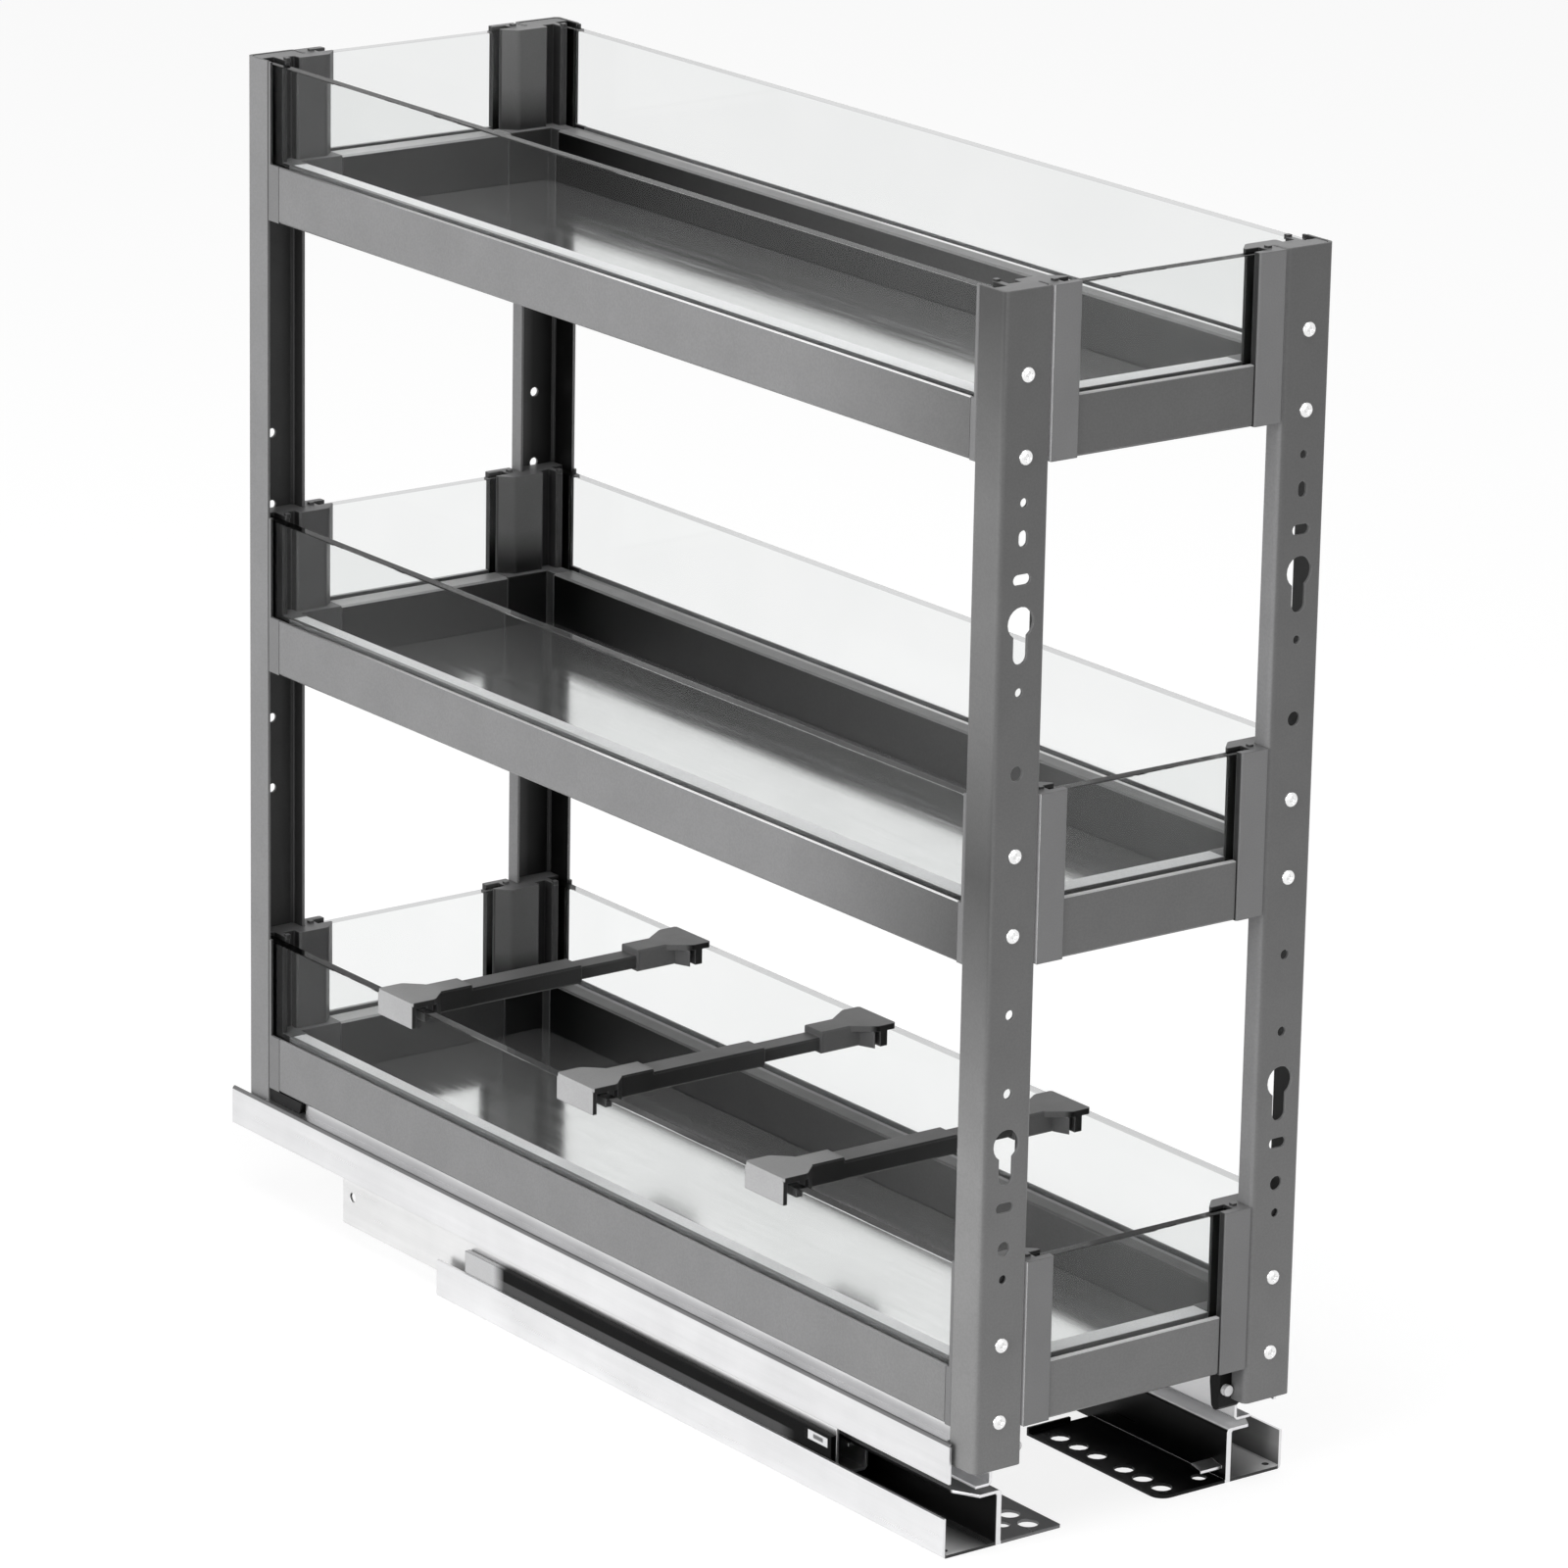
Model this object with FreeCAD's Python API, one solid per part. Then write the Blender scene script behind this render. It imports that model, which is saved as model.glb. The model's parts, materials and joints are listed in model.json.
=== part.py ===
import FreeCAD, Part
import math
import os

# Three-tier pull-out organizer for a narrow base cabinet.
# Millimetres, +Z up, the front is at -Y. The cabinet floor is at Z = 0.

os.makedirs("parts", exist_ok=True)
Vec = FreeCAD.Vector

# Clearances
seat = 0.2                 # gap between flat pieces that rest on each other
gap = 0.3                  # side gap between neighbouring pieces
mid_clear = 0.4            # side gap beside the middle member
roller_clear = 0.15        # under and over a roller

# Uprights
half_width = 80.5          # outer face of their flanges
half_depth = 261.0         # outer face of their webs
post_height = 474.0
sheet = 1.2                # steel of the uprights and the sliding members
web_width = 23.75
outer_flange = 15.8
inner_flange = 8.5
post_bend = 2.4            # outer bend radius

# Hole line of the uprights
hole_inset = 11.6          # from the outer flange
hole_pitch = 32.0
small_hole = 3.6
row_hole = 4.2
screw_hole = 3.4
round_hole = 6.0
wide_slot = (8.6, 4.3)
tall_slot = (4.3, 6.5)
keyhole_height = 22.8
keyhole_head = 12.6
keyhole_neck = 6.8
screw_rise = {             # lower screw of each pair above the underside of its tier
    "front": {"bottom": 4.6, "middle": 13.7, "top": 3.6},
    "rear": {"bottom": 3.9, "middle": 5.5, "top": 3.6},
}
lower_holes = {            # front uprights, above their foot; a keyhole by its top
    "small": [79.3],
    "round": [91.8],
    "wide": [108.8],
    "tall": [],
    "keyhole": [140.9],
    "row": [155.5, 187.5],
}
upper_holes = {            # front uprights, below the underside of the top tier
    "small": [14.1, 88.7],
    "round": [120.9],
    "wide": [44.2],
    "tall": [28.1],
    "keyhole": [54.9],
    "row": [],
}
rear_row = [147.3, 179.3, 275.3, 307.3]

# Tiers
tier_toe = 15.4            # underside of the bottom tier above the foot of the uprights
middle_share = 205.8 / 474.0
rim_height = 24.5
rim_wall = 1.1
rim_recess_x = 0.2         # long rim behind the flange
rim_recess_y = 1.0         # short rim behind the web
long_rim_width = 16.2
short_rim_width = 18.0
rim_setback = {"front": 4.2, "rear": 8.7}
rim_lip = 6.0
rim_lip_thick = 0.8
groove_depth = 10.0
floor_thick = 1.0

# Corner blocks
block_height = 68.5
block_wing = 13.45         # reach beside the short rim
column_setback = 2.0       # end of the column beyond the upright's flange
lobe_inset = 16.0
lobe_slant = 5.7
lobe_round = 3.0
finger_width = 5.9
finger_thin = 0.8          # taken off the finger beside the long pane
groove_inset = 11.5
core_roof = 10.5
core_wall = 1.6
nub = 2.2
nub_height = 1.0

# Glass
glass_thick = 5.0
glass_clear = 0.3
glass_drop = 1.2           # top of the glass below the top of the block
long_glass_inset = 3.9     # middle plane from the rim's outer face
short_glass_inset = 6.2
long_glass_end = 9.0
short_glass_bite = 1.0

# Screws
screw_head = 6.4
screw_crown = 5.4
screw_head_height = 1.6
screw_shank = 3.0
screw_length = 8.6
screw_sides = 6
head_sides = 8

# Runner, cabinet member
runner_sheet = 1.3
cabinet_setback = 11.0
cabinet_length = 354.0
channel_width = 28.9
outer_wall_height = 16.8
inner_wall_thick = 2.8
top_flange_width = 17.4
floor_bend = 1.8
tab_width = {"left": 30.6, "right": 34.2}
tab_corner = {"left": 1.0, "right": 6.0}
tab_length = 86.0
tab_lip = 3.5
tab_lip_width = 22.0
tab_row_hole = 8.6
tab_extra_hole = 6.6
rear_tab_hole = 6.2
tab_row = {"left": 20.6, "right": 26.2}
tab_row_start = 8.6
tab_row_pitch = 12.0
tab_row_jump = 17.5
tab_extra = {"left": (11.4, 13.4), "right": (6.8, 8.6)}
rear_tab_width = 17.6
rear_tab_length = 42.0
rear_tab_corner = 5.0
rear_hole_inset = 9.1
rear_hole_back = (30.0, 12.0)
channel_hole = 3.2
channel_hole_inset = (4.2, 4.5)
flange_mitre = (8.0, 13.0)
lug_front = 2.5
lug_length = 6.5
lug_reach = 11.1
lug_rise = 4.1
lug_slope = 1.4

# Runner, middle member
mid_setback = 76.0         # behind the front of the cabinet member
mid_length = 357.0
mid_width = 16.0
mid_height = 21.7
mid_bend = 1.4
return_rise = 13.2
return_reach = 10.0
rivet_hole = 4.5
rivet_back = 7.3
rivet_rise = 14.1

# Runner, drawer member
drawer_setback = 12.0
drawer_tail = 8.5
skirt_overhang = 3.1
skirt_drop = 6.8           # below the running track
shoulder_drop = 5.2        # below the ridge
shoulder_width = 5.6
drawer_reach = 4.0         # inner wall beside the middle member
drawer_lip = 8.0
drawer_bottom_rise = 2.4   # over the cabinet member's top flange

# Rollers and their housing
roller_radius = 3.4
roller_inset = 3.0
roller_length = 7.0
roller_sides = 12
roller_count = 3           # under and over each middle member
roller_lead = 24.0
roller_tail = 18.0
housing_thick = 2.5
housing_length = 259.0
housing_drop = 3.8
housing_base = 3.0
housing_strip = 3.6
pocket_clear = 0.3
catch_start = 2.0
catch_length = 15.0
catch_proud = 0.6
catch_heights = (21.0, 25.0)

# Fittings between the drawer members and the bottom tier
bracket_length = 25.1
bracket_inset = 0.5
bracket_chamfer = 1.6
coupling_width = 10.7
coupling_length = 6.0
coupling_drop = 19.6
coupling_step = 1.5
coupling_step_drop = 8.6
wheel_radius = 2.4
wheel_inset = 3.0
wheel_drop = 10.8
wheel_length = 3.4

# Dividers over the glass of the bottom tier
divider_share = [0.5536, 0.0410, -0.4655]   # places along the tier, from its middle
clip_half = 13.0
clip_cover = 2.6
clip_clear = 0.4
clip_web_half = 8.5
plate_thick = 2.0
plate_height = 11.5
plate_notch_half = 4.0
plate_notch_height = 5.0
near_clip = {              # distances inward from the clip's side of the pane
    "cover": (11.7, 4.4, -7.8),
    "throat": (11.7, 6.2, 11.3),
    "jaw": (3.0, 0.0, 6.7),
}
far_clip = {
    "cover": (16.5, 6.5, -2.5),
    "throat": (11.5, 8.4, 13.0),
    "jaw": (5.6, 2.0, 6.7),
}
sleeve_half = 6.25
sleeve_height = 8.2
sleeve_drop = 1.5          # top of the sleeve below the clip's cover
sleeve_wall = 1.0
rod_clear = 0.25
rod_overlap = 0.62         # of the sleeve's length
sleeve_end = 12.0
near_block = 45.5
far_block = 42.0

# Places that follow from the sizes above
web_edge = half_width - web_width
web_inner = half_depth - sheet
inner_bend = post_bend - sheet
outer_flange_end = half_depth - outer_flange
inner_flange_end = half_depth - inner_flange
hole_x = half_width - hole_inset

rim_outer_x = half_width - rim_recess_x
rim_inner_x = rim_outer_x - long_rim_width
rim_outer_y = half_depth - rim_recess_y
rim_inner_y = rim_outer_y - short_rim_width
rim_end = {end: outer_flange_end - back for end, back in rim_setback.items()}

block_lip_x = web_edge - block_wing
lobe_inner_x = block_lip_x + lobe_slant
lobe_face_y = half_depth - lobe_inset
finger_x = rim_inner_x + finger_width
groove_end_y = half_depth - groove_inset

glass_x = rim_outer_x - long_glass_inset
glass_y = half_depth - short_glass_inset
glass_end_x = lobe_inner_x + short_glass_bite
glass_end_y = half_depth - long_glass_end
half_glass = glass_thick / 2
groove_half = half_glass + glass_clear
long_groove = (glass_x - groove_half, glass_x + groove_half)
short_groove = (glass_y - groove_half, glass_y + groove_half)

roller_room = 2 * (roller_radius + roller_clear)
mid_bottom = runner_sheet + roller_room
mid_top = mid_bottom + mid_height
track_height = mid_top + roller_room
mid_return_top = mid_bottom + return_rise
inner_wall_height = mid_return_top + gap + runner_sheet
post_bottom = track_height + gap
bottom_level = post_bottom + tier_toe
ridge_top = bottom_level - gap
shoulder_top = ridge_top - shoulder_drop
tier_level = {
    "bottom": bottom_level,
    "middle": post_bottom + middle_share * post_height,
    "top": post_bottom + post_height - seat - block_height,
}

skirt_x = half_width + skirt_overhang
ridge_x = skirt_x - shoulder_width
mid_wall_x = skirt_x - sheet - mid_clear
mid_inner_x = mid_wall_x - mid_width
drawer_inner_x = mid_inner_x - drawer_reach
drawer_bottom = inner_wall_height + drawer_bottom_rise
housing_x = (mid_wall_x + mid_clear, mid_wall_x + mid_clear + housing_thick)
runner_half_width = housing_x[1] + gap + runner_sheet
inner_wall_x = runner_half_width - channel_width
top_flange_x = inner_wall_x + top_flange_width

cabinet_front = cabinet_setback - half_depth
cabinet_rear = cabinet_front + cabinet_length
mid_front = cabinet_front + mid_setback
mid_rear = mid_front + mid_length
housing_rear = mid_front + housing_length
drawer_front = drawer_setback - half_depth
drawer_rear = half_depth + drawer_tail
front_extent = half_depth + screw_head_height
plan_shift = (front_extent - drawer_rear) / 2


def rounded_wire(points, place):
    """Closed outline through the points. A third number rounds that corner, and the
    word flat after it makes that round a single flat."""
    count = len(points)
    corners = []
    for i, point in enumerate(points):
        corner = Vec(point[0], point[1], 0)
        if len(point) < 3:
            corners.append((corner, None, corner))
            continue
        radius = point[2]
        before = Vec(*points[i - 1][:2], 0) - corner
        after = Vec(*points[(i + 1) % count][:2], 0) - corner
        before.normalize()
        after.normalize()
        half_angle = before.getAngle(after) / 2
        run = radius / math.tan(half_angle)
        middle = before + after
        middle.normalize()
        crown = corner + middle * (radius / math.sin(half_angle) - radius)
        is_flat = len(point) > 3
        corners.append((corner + before * run, None if is_flat else crown, corner + after * run))
    edges = []
    for i in range(count):
        first, crown, last = corners[i]
        following = corners[(i + 1) % count][0]
        if crown is not None:
            edges.append(Part.Arc(place(first), place(crown), place(last)).toShape())
        elif first != last:
            edges.append(Part.makeLine(place(first), place(last)))
        edges.append(Part.makeLine(place(last), place(following)))
    return Part.Wire(edges)


def upright_bar(points, z_low, z_high):
    """Plan outline in X, Y raised from z_low to z_high."""
    wire = rounded_wire(points, lambda p: Vec(p.x, p.y, z_low))
    return Part.Face(wire).extrude(Vec(0, 0, z_high - z_low))


def long_bar(points, y_low, y_high):
    """Section in X, Z drawn out along Y."""
    wire = rounded_wire(points, lambda p: Vec(p.x, y_low, p.y))
    return Part.Face(wire).extrude(Vec(0, y_high - y_low, 0))


def cross_bar(points, x_low, x_high):
    """Section in Y, Z drawn out along X."""
    wire = rounded_wire(points, lambda p: Vec(x_low, p.x, p.y))
    return Part.Face(wire).extrude(Vec(x_high - x_low, 0, 0))


def box(x_span, y_span, z_span):
    low = Vec(x_span[0], y_span[0], z_span[0])
    return Part.makeBox(x_span[1] - x_span[0], y_span[1] - y_span[0], z_span[1] - z_span[0], low)


def ring(centre, radius, sides, start=0.0, sweep=2 * math.pi):
    """Points on a circle, one for each side."""
    turns = [start + sweep * step / sides for step in range(sides)]
    return [(centre[0] + radius * math.cos(turn), centre[1] + radius * math.sin(turn)) for turn in turns]


def joined(shapes):
    return shapes[0].fuse(shapes[1:]).removeSplitter()


def mirrored(shape, left=False, front=False):
    """The pieces are built for the rear right corner and mirrored to the others."""
    if left:
        shape = shape.mirror(Vec(0, 0, 0), Vec(1, 0, 0))
    if front:
        shape = shape.mirror(Vec(0, 0, 0), Vec(0, 1, 0))
    return shape


nodes = {}
web_span = (web_inner - 1, half_depth + 1)
arc_sides = 8              # of each rounded end of a slot


def web_round(z, diameter):
    start = Vec(hole_x, web_span[0], z)
    return Part.makeCylinder(diameter / 2, web_span[1] - web_span[0], start, Vec(0, 1, 0))


def web_row_hole(z):
    return long_bar(ring((hole_x, z), row_hole / 2, 12), *web_span)


def web_screw_hole(z):
    return long_bar(ring((hole_x, z), screw_hole / 2, screw_sides), *web_span)


def web_slot(z, size):
    """Slot with round ends, lying or standing."""
    width, height = size
    radius = min(size) / 2
    reach_x = width / 2 - radius
    reach_z = height / 2 - radius
    turn = 0.0 if height > width else -math.pi / 2
    step = math.pi / arc_sides
    first = ring((hole_x + reach_x, z + reach_z), radius, arc_sides + 1, turn, math.pi + step)
    second = ring((hole_x - reach_x, z - reach_z), radius, arc_sides + 1, turn + math.pi, math.pi + step)
    return long_bar(first + second, *web_span)


def web_keyhole(z_top):
    """Round head over a narrower neck with a round foot."""
    head = (hole_x, z_top - keyhole_head / 2)
    foot = (hole_x, z_top - keyhole_height + keyhole_neck / 2)
    open_angle = math.asin(keyhole_neck / keyhole_head)
    sweep = 2 * math.pi - 2 * open_angle
    steps = 2 * arc_sides
    crown = ring(head, keyhole_head / 2, steps + 1, open_angle - math.pi / 2, sweep * (steps + 1) / steps)
    toe = ring(foot, keyhole_neck / 2, arc_sides + 1, math.pi, math.pi * (arc_sides + 1) / arc_sides)
    return long_bar(crown + toe, *web_span)


def post_body():
    """Channel with a wide outer flange and a narrow inner one."""
    outline = [
        (web_edge, inner_flange_end),
        (web_edge, half_depth, post_bend),
        (half_width, half_depth, post_bend),
        (half_width, outer_flange_end),
        (half_width - sheet, outer_flange_end),
        (half_width - sheet, web_inner, inner_bend, "flat"),
        (web_edge + sheet, web_inner, inner_bend, "flat"),
        (web_edge + sheet, inner_flange_end),
    ]
    return upright_bar(outline, post_bottom, post_bottom + post_height)


def screw_heights(end):
    """Heights of the two screws of each tier at one end."""
    lower = {tier: tier_level[tier] + rise for tier, rise in screw_rise[end].items()}
    return {tier: [z, z + hole_pitch] for tier, z in lower.items()}


def screw_cuts(end):
    return [web_screw_hole(z) for pair in screw_heights(end).values() for z in pair]


def front_heights(kind):
    lower = [post_bottom + rise for rise in lower_holes[kind]]
    return lower + [tier_level["top"] - drop for drop in upper_holes[kind]]


def front_post():
    cuts = [web_round(z, small_hole) for z in front_heights("small")]
    cuts += [web_round(z, round_hole) for z in front_heights("round")]
    cuts += [web_row_hole(z) for z in front_heights("row")]
    cuts += [web_slot(z, wide_slot) for z in front_heights("wide")]
    cuts += [web_slot(z, tall_slot) for z in front_heights("tall")]
    cuts += [web_keyhole(z) for z in front_heights("keyhole")]
    return post_body().cut(cuts + screw_cuts("front"))


def rear_post():
    cuts = [web_row_hole(post_bottom + rise) for rise in rear_row]
    return post_body().cut(cuts + screw_cuts("rear"))


for side in ("left", "right"):
    is_left = side == "left"
    nodes["post_front_" + side] = mirrored(front_post(), left=is_left, front=True)
    nodes["post_rear_" + side] = mirrored(rear_post(), left=is_left)


def rim_outline(outer, inner, groove, z):
    """Rim section: outward side at outer, groove for the glass, lip under the floor panel."""
    top = z + rim_height
    foot = top - groove_depth
    return [
        (outer, z, 1.0, "flat"),
        (outer, top, 0.4, "flat"),
        (groove[1], top),
        (groove[1], foot),
        (groove[0], foot),
        (groove[0], top),
        (inner, top, 0.8, "flat"),
        (inner, z + rim_lip_thick),
        (inner - rim_lip, z + rim_lip_thick),
        (inner - rim_lip, z),
    ]


def rim_hollows(outer, inner, groove, z):
    """Spans of the two chambers of the hollow section, as (across, height)."""
    foot = z + rim_height - groove_depth
    under_groove = ((groove[0], outer - rim_wall), (z + rim_wall, foot - rim_wall))
    tall = ((inner + rim_wall, groove[0] - rim_wall), (z + rim_wall, z + rim_height - rim_wall))
    return [under_groove, tall]


def long_rim(z):
    span = (-rim_end["front"], rim_end["rear"])
    bar = long_bar(rim_outline(rim_outer_x, rim_inner_x, long_groove, z), *span)
    reach = (span[0] - 1, span[1] + 1)
    hollows = rim_hollows(rim_outer_x, rim_inner_x, long_groove, z)
    return bar.cut([box(across, reach, height) for across, height in hollows])


def short_rim(z):
    half = block_lip_x - gap
    bar = cross_bar(rim_outline(rim_outer_y, rim_inner_y, short_groove, z), -half, half)
    reach = (-half - 1, half + 1)
    hollows = rim_hollows(rim_outer_y, rim_inner_y, short_groove, z)
    return bar.cut([box(reach, across, height) for across, height in hollows])


def post_side_outline():
    """The part of the block's plan that lies in the upright's channel."""
    return [
        (block_lip_x, half_depth, 0.6, "flat"),
        (web_edge - gap, half_depth),
        (web_edge - gap, inner_flange_end - gap),
        (web_edge + sheet + gap, inner_flange_end - gap),
        (web_edge + sheet + gap, web_inner - gap, inner_bend, "flat"),
        (half_width - sheet - gap, web_inner - gap, inner_bend, "flat"),
        (half_width - sheet - gap, outer_flange_end - gap),
        (rim_outer_x, outer_flange_end - gap),
    ]


def corner_block(tier, end):
    """Moulded corner: foot level with the rims, column with slots for both panes."""
    z = tier_level[tier]
    rim_top = z + rim_height
    top = z + block_height
    end_y = rim_end[end] + gap
    column_end = outer_flange_end - column_setback
    foot_plan = post_side_outline() + [
        (rim_outer_x, end_y),
        (rim_inner_x, end_y),
        (rim_inner_x, rim_inner_y),
        (block_lip_x, rim_inner_y),
    ]
    column_plan = post_side_outline() + [
        (rim_outer_x, column_end),
        (finger_x, column_end, 0.8, "flat"),
        (finger_x, groove_end_y),
        (rim_inner_x, groove_end_y),
        (rim_inner_x, lobe_face_y, 0.8, "flat"),
        (lobe_inner_x, lobe_face_y, lobe_round),
        (block_lip_x, lobe_face_y + lobe_slant, 1.0, "flat"),
    ]
    body = joined([upright_bar(foot_plan, z, rim_top), upright_bar(column_plan, rim_top, top)])
    slot_heights = (rim_top - groove_depth, top + 1)
    long_slot_x = (long_groove[0] - finger_thin, long_groove[1])
    cuts = [box(long_slot_x, (end_y - 1, glass_end_y), slot_heights)]
    cuts.append(box((block_lip_x - 1, glass_end_x), short_groove, slot_heights))
    core_x = (lobe_inner_x + core_wall, rim_inner_x - core_wall)
    core_y = (lobe_face_y + core_wall, short_groove[0] - core_wall)
    cuts.append(box(core_x, core_y, (z - 1, top - core_roof)))
    for height in screw_heights(end)[tier]:
        bore = ring((hole_x, height), screw_hole / 2, screw_sides)
        cuts.append(long_bar(bore, half_depth - screw_length - 2 * gap, half_depth))
    body = body.cut(cuts)
    nub_z = (top - 1, top + nub_height)
    finger_middle = (finger_x + long_slot_x[0]) / 2
    finger_nub_x = (finger_middle - nub / 2, finger_middle + nub / 2)
    finger_nub = box(finger_nub_x, (lobe_face_y - nub, lobe_face_y), nub_z)
    end_nub_x = (glass_end_x + nub / 2, glass_end_x + 3 * nub / 2)
    end_nub = box(end_nub_x, (glass_y - nub / 2, glass_y + nub / 2), nub_z)
    return joined([body, finger_nub, end_nub])


for tier, level in tier_level.items():
    nodes[tier + "_rim_right"] = long_rim(level)
    nodes[tier + "_rim_left"] = mirrored(long_rim(level), left=True)
    nodes[tier + "_rim_rear"] = short_rim(level)
    nodes[tier + "_rim_front"] = mirrored(short_rim(level), front=True)
    panel_low = level + rim_lip_thick + seat
    panel_x = rim_inner_x - gap
    panel_y = rim_inner_y - gap
    panel_height = (panel_low, panel_low + floor_thick)
    nodes[tier + "_floor"] = box((-panel_x, panel_x), (-panel_y, panel_y), panel_height)
    for end in ("front", "rear"):
        block = corner_block(tier, end)
        is_front = end == "front"
        nodes[tier + "_corner_" + end + "_right"] = mirrored(block, front=is_front)
        nodes[tier + "_corner_" + end + "_left"] = mirrored(block, left=True, front=is_front)
    glass_height = (level + rim_height - groove_depth + seat, level + block_height - glass_drop)
    pane_y = (-glass_end_y + gap, glass_end_y - gap)
    pane_x = (-glass_end_x + gap, glass_end_x - gap)
    side_pane = box((glass_x - half_glass, glass_x + half_glass), pane_y, glass_height)
    end_pane = box(pane_x, (glass_y - half_glass, glass_y + half_glass), glass_height)
    nodes[tier + "_glass_right"] = side_pane
    nodes[tier + "_glass_left"] = mirrored(side_pane, left=True)
    nodes[tier + "_glass_rear"] = end_pane
    nodes[tier + "_glass_front"] = mirrored(end_pane, front=True)


def ring_wire(radius, sides, y, z):
    points = [Vec(across, y, height) for across, height in ring((hole_x, z), radius, sides)]
    return Part.makePolygon(points + points[:1])


def screw(z):
    """Screw through the web of an upright, with a many-sided head that narrows outward."""
    shank = long_bar(ring((hole_x, z), screw_shank / 2, screw_sides), half_depth - screw_length, half_depth)
    seat_ring = ring_wire(screw_head / 2, head_sides, half_depth, z)
    crown_ring = ring_wire(screw_crown / 2, head_sides, half_depth + screw_head_height, z)
    return joined([shank, Part.makeLoft([seat_ring, crown_ring], True, True)])


screws = []
for end in ("front", "rear"):
    for pair in screw_heights(end).values():
        for z in pair:
            for is_left in (False, True):
                screws.append(mirrored(screw(z), left=is_left, front=end == "front"))
nodes["post_screws"] = Part.makeCompound(screws)


def floor_hole(x, y, diameter):
    return Part.makeCylinder(diameter / 2, runner_sheet + 2, Vec(x, y, -1))


def many_sided_hole(x, y, diameter):
    return upright_bar(ring((x, y), diameter / 2, 12), -1, runner_sheet + 1)


def runner_lug():
    """Small sloping lug on the inner wall of the right-hand channel."""
    low = runner_sheet + lug_rise
    return cross_bar([
        (cabinet_front + lug_front, low),
        (cabinet_front + lug_front + lug_length, low + lug_slope),
        (cabinet_front + lug_front + lug_length, low + lug_slope + sheet),
        (cabinet_front + lug_front, low + sheet),
    ], inner_wall_x - lug_reach, inner_wall_x + 1)


def cabinet_member(side):
    """Floor channel with a doubled inner wall, a top flange and screw-down tabs."""
    thick = runner_sheet
    wall_out = inner_wall_x + inner_wall_thick
    channel = long_bar([
        (runner_half_width, outer_wall_height),
        (runner_half_width, 0, floor_bend),
        (inner_wall_x, 0),
        (inner_wall_x, inner_wall_height, floor_bend),
        (top_flange_x, inner_wall_height),
        (top_flange_x, inner_wall_height - thick),
        (wall_out, inner_wall_height - thick),
        (wall_out, thick),
        (runner_half_width - thick, thick, 0.5, "flat"),
        (runner_half_width - thick, outer_wall_height),
    ], cabinet_front, cabinet_rear)
    tab_x = inner_wall_x - tab_width[side]
    tab_rear = cabinet_front + tab_length
    front_tab = upright_bar([
        (inner_wall_x + 1, cabinet_front),
        (tab_x, cabinet_front, tab_corner[side]),
        (tab_x, tab_rear),
        (inner_wall_x + 1, tab_rear),
    ], 0, thick)
    rear_tab = upright_bar([
        (inner_wall_x + 1, cabinet_rear - rear_tab_length),
        (inner_wall_x - rear_tab_width, cabinet_rear - rear_tab_length, rear_tab_corner),
        (inner_wall_x - rear_tab_width, cabinet_rear, rear_tab_corner),
        (inner_wall_x + 1, cabinet_rear),
    ], 0, thick)
    lip = box((tab_x, tab_x + tab_lip_width), (tab_rear - thick, tab_rear), (0, tab_lip))
    solids = [channel, front_tab, rear_tab, lip]
    if side == "right":
        solids.append(runner_lug())
    row_x = inner_wall_x - tab_row[side]
    row_y = cabinet_front + tab_row_start
    second_row_y = row_y + 2 * tab_row_pitch + tab_row_jump
    cuts = [floor_hole(row_x, row_y + tab_row_pitch * step, tab_row_hole) for step in range(2)]
    cuts.append(many_sided_hole(row_x, row_y + 2 * tab_row_pitch, tab_row_hole))
    for step in range(3):
        cuts.append(many_sided_hole(row_x, second_row_y + tab_row_pitch * step, tab_row_hole))
    extra_inset, extra_back = tab_extra[side]
    cuts.append(many_sided_hole(inner_wall_x - extra_inset, cabinet_front + extra_back, tab_extra_hole))
    for back in rear_hole_back:
        cuts.append(floor_hole(inner_wall_x - rear_hole_inset, cabinet_rear - back, rear_tab_hole))
    hole_in, hole_back = channel_hole_inset
    small = ring((runner_half_width - hole_in, cabinet_front + hole_back), channel_hole / 2, 8)
    cuts.append(upright_bar(small, -1, thick + 1))
    mitre_x, mitre_y = flange_mitre
    cuts.append(upright_bar([
        (top_flange_x + 1, cabinet_front - 1),
        (top_flange_x + 1, cabinet_front + mitre_y),
        (top_flange_x + 1 - mitre_x, cabinet_front - 1),
    ], inner_wall_height - thick - 1, inner_wall_height + 1))
    return joined(solids).cut(cuts)


def mid_member():
    """Member between the two: hooks under the cabinet flange and carries the rollers."""
    wall = mid_wall_x - sheet
    arm_x = mid_inner_x + sheet / 2
    return_x = mid_inner_x + return_reach
    bar = long_bar([
        (mid_wall_x, mid_bottom, mid_bend),
        (mid_wall_x, mid_top, mid_bend),
        (arm_x, mid_top),
        (arm_x, mid_top - sheet),
        (wall, mid_top - sheet),
        (wall, mid_bottom + sheet),
        (mid_inner_x + sheet, mid_bottom + sheet),
        (mid_inner_x + sheet, mid_return_top - sheet),
        (return_x, mid_return_top - sheet),
        (return_x, mid_return_top),
        (mid_inner_x, mid_return_top, mid_bend, "flat"),
        (mid_inner_x, mid_bottom, mid_bend, "flat"),
    ], mid_front, mid_rear)
    rivet_start = Vec(wall - 1, mid_rear - rivet_back, mid_bottom + rivet_rise)
    return bar.cut(Part.makeCylinder(rivet_hole / 2, sheet + 2, rivet_start, Vec(1, 0, 0)))


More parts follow.
